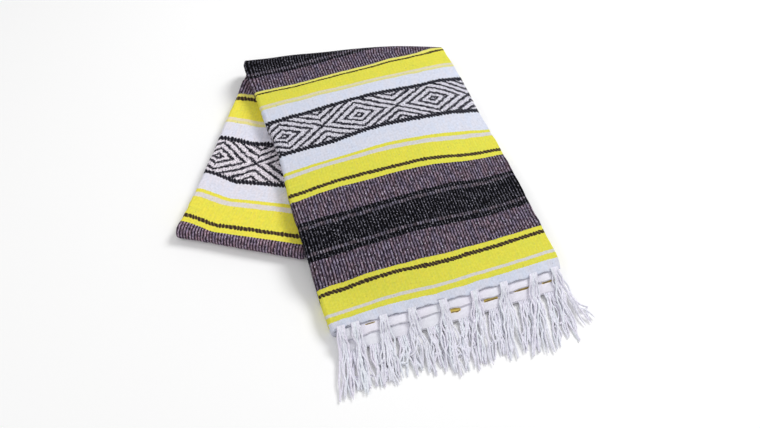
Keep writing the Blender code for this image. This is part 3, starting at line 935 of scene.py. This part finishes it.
def raised(section, lift, square):
    # Raise a face by the relief, and round the fold raise it away from the fold's middle
    lobe = cloth["lobe"]
    inward, depth = section[:, 0], section[:, 1]
    onFold = (inward < lobe) | (depth > cloth["wall"] + 0.0001)
    radius = np.hypot(inward - lobe, depth - lobe)
    radius = np.where(radius > 0, radius, 1)
    turn = np.arctan2(lobe - inward, lobe - depth)
    squarer = square * cloth["squareCorner"] * np.sin(2 * turn) ** 2 * (turn < math.pi / 2)
    lift = lift + np.where(onFold, squarer, 0)
    grown = 1 + lift / radius
    return (np.where(onFold, lobe + (inward - lobe) * grown, inward),
            np.where(onFold, lobe + (depth - lobe) * grown, depth - lift))


def shellRing(place, outer, inner, relief, ribs, inset=0.0, square=0.0):
    count = len(outer)
    outerSpots = raised(outer, (relief[:count] + ribs[:count]) * outer[:, 3] - inset, square)
    return np.vstack((place(*outerSpots), place(*raised(inner, relief[count:] + inset, square))))


def upperRun(share, across):
    # The upper leg's left edge is longer than its right one
    return share * (upperLeft[-1][0] * (1 - across) + upperRight[-1][0] * across)


def upperStations(look, length):
    # Where the sheet's rings stand: places along the leg, then degrees round the top fold
    alongs = np.arange(look["hemStart"] + look["firstRow"], length, look["rowPitch"])
    stations = [("leg", (look["hemStart"] + step) / length) for step in look["hemSteps"]]
    stations += [("leg", along / length) for along in alongs] + [("leg", 1.0)]
    steps = look["foldSteps"]
    return stations + [("fold", 90 - look["foldTurn"] * number / steps) for number in range(1, steps + 1)]


def moveHem(ring, across, fromHem, back):
    # The hem droops between the bundles and its edge wavers
    look = upperSheet
    near = 1 - soften(fromHem / look["hemOver"])
    pull = bundleSwing(across)
    ring[:, 2] -= near * look["hemDroop"] * (look["hemSlack"] + (1 - look["hemSlack"]) * pull)
    edge = sum(reach * wander(across, pitch, seed) for reach, pitch, seed in look["hemWaver"])
    ring[:, :2] -= np.outer(near * (edge + look["hemPull"] * pull - hemTilt(across)), back)


def buildUpperSheet():
    look = upperSheet
    length = (upperLeft[-1][0] + upperRight[-1][0]) / 2
    foldReach = math.radians(1) * (cloth["foldBack"] + cloth["foldPuff"] / 2)
    rings, places = [], []
    for kind, value in upperStations(look, length):
        onTop = kind == "leg"
        share = value if onTop else 1.0
        _, _, side, back, width = ruling(upperLeg, share)
        count = int(round(look["columns"] * min(width, cloth["width"]) / cloth["rib"]))
        flat = np.linspace(width - shell["rightRound"], cloth["lobe"], count)
        outer, inner = shellSection(width, flat, flat[::-look["innerEvery"]], cloth["width"] / width)
        if onTop:
            thin = look["rollAtHem"] + (1 - look["rollAtHem"]) * soften(share * length / look["rollGrows"])
            for section in (outer, inner):
                deep = section[:, 1] - cloth["wall"]
                section[:, 1] = np.where(deep > 0, cloth["wall"] + deep * thin, section[:, 1])
        both = np.vstack((outer, inner))
        across = both[:, 2]
        acrossShare = np.clip(across / cloth["width"], 0, 1)
        along = upperRun(share, acrossShare) + (0 if onTop else foldReach * (90 - value))
        pattern = patternPlace(along, acrossShare)
        relief = creaseHeight(upperCreases, across, along) + slowSwell(across, along, 1.0, look["swell"])
        relief = relief * (soften(along / look["hemOver"]) if onTop else 1.0)
        relief = relief + edgeWander(look, along) * (1 - soften(both[:, 0] / look["edgeOver"]))
        ribs = ribRise(across, along, pattern, look["ribHeight"])
        fromHem = share * length - look["hemStart"]
        inset = 0.0
        if onTop and fromHem < look["hemRound"]:
            bulge = math.sqrt(1 - (1 - fromHem / look["hemRound"]) ** 2)
            inset = cloth["wall"] / 2 * look["hemThin"] * (1 - bulge)
        place = upperPlace if onTop else foldPlace
        square = upperLeg["bow"](share) ** 2 if onTop else 1.0
        ring = shellRing(partial(place, value), outer, inner, relief, ribs, inset, square)
        if onTop:
            moveHem(ring, across, fromHem, back)
        # The right edge is straight, with a hand's unevenness
        rough = soften((across - cloth["width"] + look["rightOver"]) / look["rightOver"]) * look["edgeRough"]
        ring[:, :2] += np.outer(rough * wander(along, *look["rightWander"]), side)
        rings.append(ring)
        places.append(cutPlaces(across, pattern))
    sheet = shellPiece("upperSheet", rings, places, upperWeave, len(outer))
    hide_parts("upper_leg")
    return sheet


rearSheet = {
    "flatCount": 180,           # columns between the fold and the covered side
    "from": 0.040,              # share of the leg where its own sheet first shows
    "rowPitch": 0.0025,
    "rowsMore": 1.12,
    "endSteps": 14,
    "endTurn": 175,
    "innerEvery": 6,
    "ribHeight": 0.0004,
    "swell": 0.0006,
    "edgeRough": 0.0007,
    "edgeOver": 0.010,
    "edgeWander": ((0.010, 25), (0.0035, 26)),
    "endWander": (0.0005, 0.006, 31),
    "placeAcross": 0.006,       # the pattern lies this much further right than on the upper leg
    "curl": 0.035,              # the stripes turn up towards the left edge, as a share of the leg
    "curlOver": 0.060,
    "chainCurl": (0.016, 0.70, 0.06),   # the lower chain line turns up more: reach, share, width
    # Where the stripes lie: shares of the leg, then places in the pattern
    "stripes": (
        (0, .20, .341, .482, .715, .818, .966, 1.0, 1.10),
        (.475, .4335, .3985, .365, .3005, .261, .221, .2095, .170),
    ),
}


def rearPattern(share, inward, arc=0.0):
    look = rearSheet
    reach, middle, width = look["chainCurl"]
    curl = look["curl"] + reach * np.exp(-((share - middle) / width) ** 2)
    curled = share + rearOut(share, inward) / rearLeft[-1][0] + curl * (1 - soften(inward / look["curlOver"]))
    return np.interp(curled, *look["stripes"]) - arc


def buildRearSheet():
    look = rearSheet
    length = rearLeft[-1][0]
    rows = int(round((1 - look["from"]) * length * look["rowsMore"] / look["rowPitch"]))
    steps = look["endSteps"]
    stations = [("leg", share) for share in np.linspace(look["from"], 1.0, rows)]
    stations += [("end", look["endTurn"] * number / steps) for number in range(1, steps + 1)]
    rings, places = [], []
    for kind, value in stations:
        onTop = kind == "leg"
        share, arc = (value, 0.0) if onTop else (1.0, math.radians(value) * cloth["half"])
        width = coveredWidth(share)
        # The leg widens, and is cut into the same number of columns all along
        far = width - shell["rightRound"]
        flat = np.linspace(far, cloth["lobe"], look["flatCount"])
        below = np.linspace(cloth["lobe"], far, look["flatCount"] // look["innerEvery"])
        outer, inner = shellSection(width, flat, below)
        both = np.vstack((outer, inner))
        inward = both[:, 2]
        pattern = rearPattern(share, inward, arc)
        along = np.full(len(both), share * length + arc)
        relief = creaseHeight(rearCreases, inward, pattern) + slowSwell(inward, along, 3.0, look["swell"])
        relief = relief + edgeWander(look, along) * (1 - soften(inward / look["edgeOver"]))
        if not onTop:
            reach, pitch, seed = look["endWander"]
            relief = relief + reach * wander(inward, pitch, seed)
        ribs = ribRise(inward, along, pattern, look["ribHeight"])
        place = rearPlace if onTop else endPlace
        rings.append(shellRing(partial(place, value), outer, inner, relief, ribs))
        places.append(cutPlaces(inward + look["placeAcross"], pattern))
    sheet = shellPiece("rearSheet", rings, places, rearLitWeave, len(outer))
    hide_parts("rear_leg")
    return sheet


upperCloth = buildUpperSheet()
print("upper sheet", len(upperCloth.data.polygons))
rearCloth = buildRearSheet()
print("rear sheet", len(rearCloth.data.polygons))

# Hidden layers: nested folds at the left and sheet edges at the right, in one solid of the strip
hiddenLayers = {
    "layerBack": (0.0022, 0.0006, 0.0030, 0.0012, 0.0026, 0.0004, 0.0018),   # second sheet first
    "sheet": 0.0025,
    "edgeParts": ((0.08, 0.0009), (0.32, 0.0), (0.68, 0.0), (0.92, 0.0009)),   # share of a sheet, inset
    "groove": 0.0022,
    "recess": 0.0060,          # the fill under the sheets stays back this far
    "clear": 0.0003,
    "start": 0.0088,           # behind the top hem
    "underSide": 0.012,        # how far the rear leg's layers run on under the upper leg
    "foldSteps": 10,
    "edgeRough": 0.0009,
    "edgeWander": ((0.013, 60), (0.0045, 80)),   # pitch and seed
    "foldRough": 0.10,
    "foldWander": (0.012, 70),
    "rowPitch": 0.004,
    "wallLayers": 6,
    "wallPush": 0.0016,
}


def hiddenSection(width, covered=True):
    # Rows of inward distance, depth and kind: the sheet's number, -1 for the lower fold, -2 for the upper
    look = hiddenLayers
    top = cloth["cover"] if covered else 0.0
    leftEnd = cloth["lobe"] + look["clear"]
    sheet = look["sheet"]
    upper = [(spot, top, 0) for spot in np.linspace(leftEnd, width - look["recess"], 8)[1:]]
    for number, back in enumerate(look["layerBack"], 1):
        start = number * sheet
        upper += [(width - back - inset, start + part * sheet, number) for part, inset in look["edgeParts"]]
        upper.append((width - back - look["groove"], start + sheet, number))
    upper.append((width - look["recess"], cloth["stack"], 0))
    turns = np.radians(np.linspace(180, 0, look["foldSteps"] + 1))
    lowRadius = cloth["lobe"] - look["clear"] / 2
    lowMiddle = cloth["half"] + cloth["lobe"] + look["clear"] / 2
    highRadius = cloth["lobe"] - top if covered else lowRadius
    folds = [(leftEnd, cloth["stack"], 0)]
    for radius, middle, kind in ((lowRadius, lowMiddle, -1), (highRadius, cloth["lobe"], -2)):
        folds += [(leftEnd - radius * math.sin(turn), middle - radius * math.cos(turn), kind)
                  for turn in turns]
    return np.array(upper), np.array(folds)


def rearSection(width, covered, bottom):
    # As hiddenSection, but plain at the right, which the upper leg covers
    left = hiddenSection(width, covered)[1]
    top = cloth["cover"] if covered else 0.0
    far = width + hiddenLayers["underSide"]
    start = cloth["lobe"] + hiddenLayers["clear"]
    floor = bottom - 0.0001
    rows = [(spot, top, 0) for spot in np.linspace(start, far, 12)[1:]]
    rows += [(far, depth, 0) for depth in np.linspace(top, floor, 5)[1:]]
    if bottom < cloth["stack"]:
        return np.array([*rows, (start, floor, 0), *left[left[:, 2] == -2].tolist()])
    return np.array([*rows, *left.tolist()])


def uneven(section, along):
    # Each layer's edge and fold wanders on its own
    look = hiddenLayers
    inward, depth, kind = section[:, 0].copy(), section[:, 1], section[:, 2]
    (coarse, coarseSeed), (fine, fineSeed) = look["edgeWander"]
    for number in range(1, len(look["layerBack"]) + 1):
        off = wander(along, coarse, coarseSeed + number) + 0.5 * wander(along, fine, fineSeed + number)
        inward[kind == number] += look["edgeRough"] * float(off)
    middle = cloth["lobe"] + look["clear"]
    pitch, seed = look["foldWander"]
    for number in (-1, -2):
        swell = 1 + look["foldRough"] * float(wander(along, pitch, seed - number))
        inward[kind == number] = middle + (inward[kind == number] - middle) * swell
    return inward, depth


def fillWall(corner, sideways):
    # The side of the heap below a corner, down to the floor, with layers that fade as it sinks
    steps = 2 * hiddenLayers["wallLayers"]
    rows = []
    for number in range(1, steps + 1):
        push = hiddenLayers["wallPush"] * min(corner[2] / cloth["stack"], 1.0) if number % 2 else 0.0
        rows.append((*(corner[:2] + sideways * push), corner[2] * (1 - number / steps)))
    return np.array(rows)


def upperHidden():
    length = upperLeft[-1][0]
    look = hiddenLayers
    rings, places = [], []
    for along in (*np.arange(look["start"], length - 0.002, look["rowPitch"]), length - 0.0004):
        share = along / length
        _, _, side, _, width = ruling(upperLeg, share)
        right, left = hiddenSection(width)
        rightPoints, leftPoints = (upperPlace(share, *uneven(part, share * length)) for part in (right, left))
        wallRight = fillWall(rightPoints[-1], -side)
        wallLeft = fillWall(leftPoints[0], side)[::-1]
        rings.append(np.vstack((rightPoints, wallRight, wallLeft, leftPoints)))
        spots = np.concatenate((right[:, 0], np.repeat((width, 0.0), len(wallLeft)), left[:, 0]))
        across = np.clip(spots / width, 0, 1)
        places.append(cutPlaces(spots, patternPlace(upperRun(share, across), across)))
    return rings, places


def foldHidden():
    width = ruling(upperLeg, 1.0)[4]
    section = np.vstack(hiddenSection(width))
    across = np.clip(section[:, 0] / width, 0, 1)
    rings, places = [], []
    for angle in np.linspace(90, -90, 17):
        arc = math.radians(90 - angle) * cloth["foldBack"]
        rings.append(foldPlace(angle, *uneven(section, upperLeft[-1][0] + arc)))
        places.append(cutPlaces(section[:, 0], patternPlace(upperRun(1.0, across) + arc, across)))
    return rings, places


def rearHidden():
    length, start, pitch = rearLeft[-1][0], rearSheet["from"], hiddenLayers["rowPitch"]
    shares = [(0.0007 / length, False), (start - 0.002, False)]
    shares += [(share, True) for share in (*np.arange(start - 0.001, 1.0, pitch / length), 1.0)]
    rings, places = [], []
    for share, covered in shares:
        section = rearSection(coveredWidth(share), covered, cloth["stack"])
        rings.append(rearPlace(share, *uneven(section, share * length)))
        places.append(cutPlaces(section[:, 0], rearPattern(share, section[:, 0])))
    return rings, places


def endHidden():
    section = rearSection(coveredWidth(1.0), True, cloth["half"])
    rings, places = [], []
    for angle in np.linspace(0, 180, 13):
        arc = math.radians(angle) * cloth["half"]
        rings.append(endPlace(angle, *uneven(section, rearLeft[-1][0] + arc)))
        places.append(cutPlaces(section[:, 0], rearPattern(1.0, section[:, 0], arc)))
    return rings, places


def buildHiddenLayers():
    sweeps = (upperHidden(), foldHidden(), rearHidden(), endHidden())
    layers = joinedPiece("hiddenLayers", sweeps, hiddenShadedWeave)
    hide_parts("inner_layers")
    return layers


# Lower hems: each comes out under the one above, puckered between the fringe bundles
hemSheets = {
    # ahead: places past the top hem, and the height of the hem's top there
    "secondHem": {
        "node": "hem_second",
        "ahead": (-0.0080, -0.0050, -0.0010, 0.0030, 0.0066),
        "height": (0.0155, 0.0152, 0.0147, 0.0139, 0.0127),
        "pucker": 0.0010,
        "waver": 0.0012,
        "seed": 41,
    },
    "thirdHem": {
        "node": "hem_third",
        "ahead": (-0.0060, 0.0050, 0.0100, 0.0160, 0.0208),
        "height": (0.0098, 0.0100, 0.0093, 0.0072, 0.0050),
        "pucker": 0.0007,
        "waver": 0.0010,
        "seed": 47,
    },
}
hemMake = {
    "rows": 34,
    "stations": 240,
    "pulled": 0.0006,          # a bundle holds the edge back by this much
    "waverPitch": 0.012,
    "uneven": (0.0004, 0.009),   # reach and pitch
    "puckerFrom": 0.4,
    "tipTurns": (60, 30, 0, -30, -60),
    "lavender": (0.4, 0.4, 0.020),   # middle, reach and pitch of the white's change of hue
    "peekShort": 0.35,         # a stripe is this much shorter at its ends
    "peekRough": (0.0006, 0.006, 71),
    "peekBlur": (0.0006, 0.0004),
    "brownEdge": 0.0020,
}
# Where a yellow stripe shows between two hems. Columns: hem, middle across it, width, from, to
peeks = (
    ("secondHem", 0.0480, 0.0160, -0.0060, -0.0040),
    ("thirdHem", 0.1600, 0.0170, 0.0050, 0.0112),
    ("thirdHem", 0.2100, 0.0240, 0.0050, 0.0098),
    ("thirdHem", 0.2540, 0.0270, 0.0050, 0.0084),
    ("thirdHem", 0.2930, 0.0220, 0.0050, 0.0082),
)


def hemSpot(across, ahead):
    # Plan places in front of the top hem, in the studio's plan
    left, _, side, back, _ = ruling(upperLeg, 0.0)
    return left + np.outer(across, side) - np.outer(ahead, back)


def hemSection(look, spot):
    # Places ahead and heights round the hem's cut: its top, its rounded tip and its underside
    swing = 1 - float(bundleSwing(spot))
    first, last = look["ahead"][0], look["ahead"][-1]
    wall, edge = cloth["wall"], cloth["wall"] / 2
    reach = last + look["waver"] * float(wander(spot, hemMake["waverPitch"], look["seed"]))
    reach -= hemMake["pulled"] * (1 - swing)
    even = np.linspace(first, last, hemMake["rows"])
    share = np.linspace(0, 1, hemMake["rows"])
    aheads = first + (even - first) * ((reach - first) / (last - first))
    tops = np.interp(even, look["ahead"], look["height"])
    tops = tops + look["pucker"] * (swing - hemMake["puckerFrom"]) * np.sin(share * math.pi * 0.85)
    uneven, pitch = hemMake["uneven"]
    tops = tops + uneven * wander(aheads * 2 + spot, pitch, look["seed"] + 1) * share
    tipAhead, tipTop = aheads[-1] - edge, tops[-1]
    turns = np.radians(hemMake["tipTurns"])
    tip = [(tipAhead + edge * math.cos(turn), tipTop - edge + edge * math.sin(turn)) for turn in turns]
    under = zip(aheads[-2::-2], tops[-2::-2] - wall)
    top = zip(aheads[:-1], tops[:-1])
    return np.array([*top, (tipAhead, tipTop), *tip, (tipAhead, tipTop - wall), *under]).T


def hemMarks(name, look, spot, ahead):
    # 0 cool to 1 lavender, and above that the stripes that show between two hems
    middle, reach, pitch = hemMake["lavender"]
    marks = middle + reach * wander(np.full(len(ahead), spot) + ahead, pitch, look["seed"] + 2)
    rough, roughPitch, roughSeed = hemMake["peekRough"]
    blur, outerBlur = hemMake["peekBlur"]
    for _, centre, wide, start, end in (row for row in peeks if row[0] == name):
        near = soften((0.5 - abs(spot - centre) / wide) * 6)
        shorter = (end - start) * hemMake["peekShort"] * (1 - near)
        out = end - shorter + rough * float(wander(spot, roughPitch, roughSeed))
        stripe = upFrom(ahead, start, blur) * upFrom(out, ahead, outerBlur)
        brown = soften((ahead - out + hemMake["brownEdge"]) / blur)
        marks = np.maximum(marks, near * stripe * (2.0 + brown))
    return marks


def buildHem(name, look):
    width = ruling(upperLeg, 0.0)[4]
    inset = cloth["lobe"] + hiddenLayers["clear"]
    rings, places = [], []
    for spot in np.linspace(inset, width - inset, hemMake["stations"]):
        ahead, height = hemSection(look, spot)
        across = np.full(len(ahead), spot)
        rings.append(toFrame(hemSpot(across, ahead), height))
        places.append(np.column_stack((across, ahead, hemMarks(name, look, spot, ahead))))
    hem = joinedPiece(name, [(rings, places)], hemWeave)
    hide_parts(look["node"])
    return hem


# Fringe: twisted cords in bundles, which cross the lower hems and fan out on the floor
fringes = {
    "topFringe": {
        "node": "fringe_top",
        "cords": 13,
        "packed": 0.00150,         # cords lie this far apart where they leave the hem
        "root": -0.0066,
        "tilts": True,
        # Columns: place past the top hem, height
        "heights": ((-0.0066, 0.0187), (-0.0020, 0.0180), (0.0030, 0.0166), (0.0070, 0.0150),
                    (0.0110, 0.0122), (0.0160, 0.0102), (0.0215, 0.0082), (0.028, 0.0064),
                    (0.045, 0.0052), (0.090, 0.0046)),
        "levels": (0.0016, 0.0),
        "seed": 101,
        "roots": topRoots,
        # Columns: tip x and tip y in the studio's plan, how wide the bundle fans
        "tips": ((-0.0390, -0.2830, 0.7), (-0.0100, -0.2750, 1.0), (0.0200, -0.2600, 1.1),
                 (0.0570, -0.2500, 1.1), (0.0970, -0.2540, 1.0), (0.1300, -0.2450, 1.0),
                 (0.1730, -0.2280, 1.1), (0.2070, -0.2300, 1.0), (0.2580, -0.1860, 1.5)),
    },
    "secondFringe": {
        "node": "fringe_second",
        "cords": 15,
        "packed": 0.00240,
        "root": 0.0175,
        "tilts": False,
        "heights": ((0.0, 0.0050), (0.0175, 0.0044), (0.0215, 0.0040),
                    (0.027, 0.0032), (0.034, 0.0024), (0.090, 0.0018)),
        "levels": (0.0012, 0.0),
        "seed": 303,
        "roots": (0.065, 0.152, 0.272, 0.400, 0.538, 0.673, 0.807, 0.925),
        "tips": ((-0.0240, -0.2760, 1.0), (0.0070, -0.2700, 1.0), (0.0400, -0.2540, 1.0),
                 (0.0800, -0.2500, 1.0), (0.1180, -0.2440, 1.0), (0.1560, -0.2300, 1.0),
                 (0.1980, -0.2180, 1.0), (0.2400, -0.2080, 1.2)),
    },
}
cord = {
    "radius": 0.00130,
    "pitch": 0.0056,           # of a full turn of the two plies
    "plyDepth": 0.30,
    "step": 0.00098,
    "sides": 8,
    "pull": 0.007,             # they leave it square for about this far
    "lead": 0.014,
    "jitter": 0.0002,
    "clumps": 4,
    "strays": 0.45,            # how far a cord strays from its clump
    "fan": 0.0078,             # between the tips of neighbouring clumps
    "fanSway": 0.0035,
    "tipSway": 0.0012,
    "clumpLonger": (-0.010, 0.003),
    "longer": (-0.004, 0.0015),
    "slack": 1.04,
    "waves": ((0.0036, 0.021, 0), (0.0013, 0.009, 3)),   # reach, pitch and what is added to the seed
    "lift": (0.0011, 0.022, 7),
    "sink": 0.0007,
    # Shares of a cord's length, from and over: where its waves grow and calm down, curl, and it settles
    "waved": (0.08, 0.32),
    "calmer": (0.70, 0.3),
    "calm": 0.35,
    "curled": (0.72, 0.28),
    "settled": (0.75, 0.25),
    "tapered": (0.90, 0.10),
    "lifted": (0.016, 0.020),   # places past the top hem
    "loops": 0.15,             # share of the cords with a curled end
    "curl": 0.0052,
    "curlTurn": 4.4,
}


def sway(draw, name):
    return draw.uniform(-cord[name], cord[name])


def cordEnds(look, bundle, number, draw):
    # Where a cord leaves the hem and where it ends, in pointed clumps
    place, (tipX, tipY, fan) = bundle
    perLayer = (look["cords"] + 1) // 2
    layer, slot = divmod(number, perLayer)
    offset = (slot - (perLayer - 1) / 2 + 0.5 * layer) * look["packed"] + sway(draw, "jitter")
    _, _, side, _, width = ruling(upperLeg, 0.0)
    across = place * width + offset
    ahead = look["root"] - (hemTilt(across) if look["tilts"] else 0)
    start = hemSpot(np.array((across,)), np.array((ahead,)))[0]
    tip = np.array((tipX, tipY))
    lie = (tip - start) / np.linalg.norm(tip - start)
    spread = np.array((-lie[1], lie[0]))
    if spread @ side < 0:
        spread = -spread
    last = cord["clumps"] - 1
    clump = int(np.clip((slot + 0.5) / perLayer * cord["clumps"] + sway(draw, "strays"), 0, last))
    clumpDraw = np.random.default_rng(look["seed"] * 7 + int(place * 1000) * 11 + clump)
    sideways = (clump - last / 2) * cord["fan"] * fan + sway(clumpDraw, "fanSway")
    longer = clumpDraw.uniform(*cord["clumpLonger"]) + draw.uniform(*cord["longer"])
    end = tip + spread * (sideways + sway(draw, "tipSway")) + lie * longer
    return start, end, ahead, lie, spread, layer


def cordPath(look, bundle, number, draw):
    # Points of one cord: tight at the hem, then fanned out
    start, end, ahead, lie, spread, layer = cordEnds(look, bundle, number, draw)
    back = ruling(upperLeg, 0.0)[3]
    middle = start - back * cord["pull"] + lie * cord["lead"]
    length = float(np.linalg.norm(end - start)) * cord["slack"]
    parts = np.linspace(0, 1, max(int(length / cord["step"]), 12))
    first, last = (1 - parts) ** 2, parts ** 2
    spots = np.outer(first, start) + np.outer(2 * parts * (1 - parts), middle) + np.outer(last, end)
    seed = look["seed"] + number + int(bundle[0] * 1000)
    waves = sum(reach * wander(parts * length, pitch, seed + more) for reach, pitch, more in cord["waves"])
    belly = upFrom(parts, *cord["waved"]) * (1 - cord["calm"] * upFrom(parts, *cord["calmer"]))
    spots = spots + np.outer(waves * belly, spread)
    if draw.uniform() < cord["loops"]:
        turn = upFrom(parts, *cord["curled"]) * draw.choice((-1, 1)) * cord["curlTurn"]
        spots = spots + np.outer(np.sin(turn) * cord["curl"], spread)
        spots = spots + np.outer((np.cos(turn) - 1) * cord["curl"], lie)
    ahead = -(spots - start) @ back + ahead
    height = np.interp(ahead, *np.array(look["heights"]).T)
    height = height + look["levels"][layer] * (1 - 0.3 * soften(parts / 0.5)) - cord["sink"]
    reach, pitch, more = cord["lift"]
    lift = reach * (1 + wander(parts * length, pitch, seed + more)) * upFrom(ahead, *cord["lifted"])
    height = np.maximum(height + lift, cord["radius"] * 1.02)
    settle = upFrom(parts, *cord["settled"])
    height = height * (1 - settle) + (cord["radius"] * 1.05 + 0.4 * (height - cord["radius"])) * settle
    return toFrame(spots, height)


def cordRings(path, turnStart):
    # A two-ply twisted tube round the path, tapered to its tip
    heading = np.gradient(path, axis=0)
    heading /= np.linalg.norm(heading, axis=1)[:, None]
    side = np.cross(heading, (0.0, 0.0, 1.0))
    side /= np.linalg.norm(side, axis=1)[:, None]
    over = np.cross(side, heading)
    run = np.concatenate(((0,), np.cumsum(np.linalg.norm(np.diff(path, axis=0), axis=1))))
    share = run / run[-1]
    thin = 1 - 0.50 * upFrom(share, *cord["tapered"])
    radius = cord["radius"] * thin * (0.92 + 0.08 * soften(share / 0.1))
    angles = np.arange(cord["sides"]) / cord["sides"] * 2 * math.pi
    twist = turnStart + run / cord["pitch"] * 2 * math.pi
    ply = 1 - cord["plyDepth"] * np.sin(angles - twist[:, None]) ** 2
    across = ply * radius[:, None] * np.cos(angles)
    above = ply * radius[:, None] * np.sin(angles)
    return path[:, None, :] + across[:, :, None] * side[:, None, :] + above[:, :, None] * over[:, None, :]


def buildFringe(name, look):
    draw = np.random.default_rng(look["seed"])
    sweeps = []
    for bundle in zip(look["roots"], look["tips"]):
        for number in range(look["cords"]):
            path = cordPath(look, bundle, number, draw)
            rings = [onFloor(ring) for ring in cordRings(path, draw.uniform(0, 6.28))]
            tone = float(np.clip(draw.normal(0.45, 0.3), 0, 1))
            marks = [np.column_stack((ring[:, :2], np.full(len(ring), tone))) for ring in rings]
            sweeps.append((rings, marks))
    fringe = joinedPiece(name, sweeps, fringeYarn)
    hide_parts(look["node"])
    return fringe


hiddenCloth = buildHiddenLayers()
print("hidden layers", len(hiddenCloth.data.polygons))
hemPieces = [buildHem(name, look) for name, look in hemSheets.items()]
print("hems", [len(hem.data.polygons) for hem in hemPieces])
fringePieces = [buildFringe(name, look) for name, look in fringes.items()]
print("fringes", [len(fringe.data.polygons) for fringe in fringePieces])

# Floor and light
floorLook = {"size": 8.0, "colour": (0.985, 0.985, 0.985)}
lights = {
    # name: place, size, watts
    "key": ((1.12, 0.95, 1.60), 0.9, 28.6),
    "left": ((-1.6, -0.6, 1.6), 1.6, 10.0),
    "front": ((0.2, -1.7, 1.5), 1.6, 4.0),
}
skyStrength = 0.47


def makeFloor():
    half = floorLook["size"] / 2
    data = bpy.data.meshes.new("floor")
    corners = [(-half, -half, 0), (half, -half, 0), (half, half, 0), (-half, half, 0)]
    data.from_pydata(corners, [], [(0, 1, 2, 3)])
    floor = linked("floor", data)
    material = bpy.data.materials.new("paleFloor")
    material.use_nodes = True
    shader = material.node_tree.nodes["Principled BSDF"]
    shader.inputs["Base Color"].default_value = (*floorLook["colour"], 1)
    shader.inputs["Roughness"].default_value = 0.8
    shader.inputs["Specular IOR Level"].default_value = 0.1
    data.materials.append(material)


def makeLights():
    for name, (place, size, watts) in lights.items():
        data = bpy.data.lights.new(name, "AREA")
        data.shape = "DISK"
        data.size = size
        data.energy = watts
        lamp = linked(name, data)
        lamp.location = place
        lamp.rotation_euler = (-Vector(place)).to_track_quat("-Z", "Y").to_euler()
    world = bpy.data.worlds.new("softWorld")
    bpy.context.scene.world = world
    world.use_nodes = True
    sky = world.node_tree.nodes["Background"]
    sky.inputs[0].default_value = (1.0, 1.0, 1.0, 1.0)
    sky.inputs[1].default_value = skyStrength
    bpy.context.scene.view_settings.view_transform = "Standard"


makeFloor()
makeLights()
print("floor and lights")
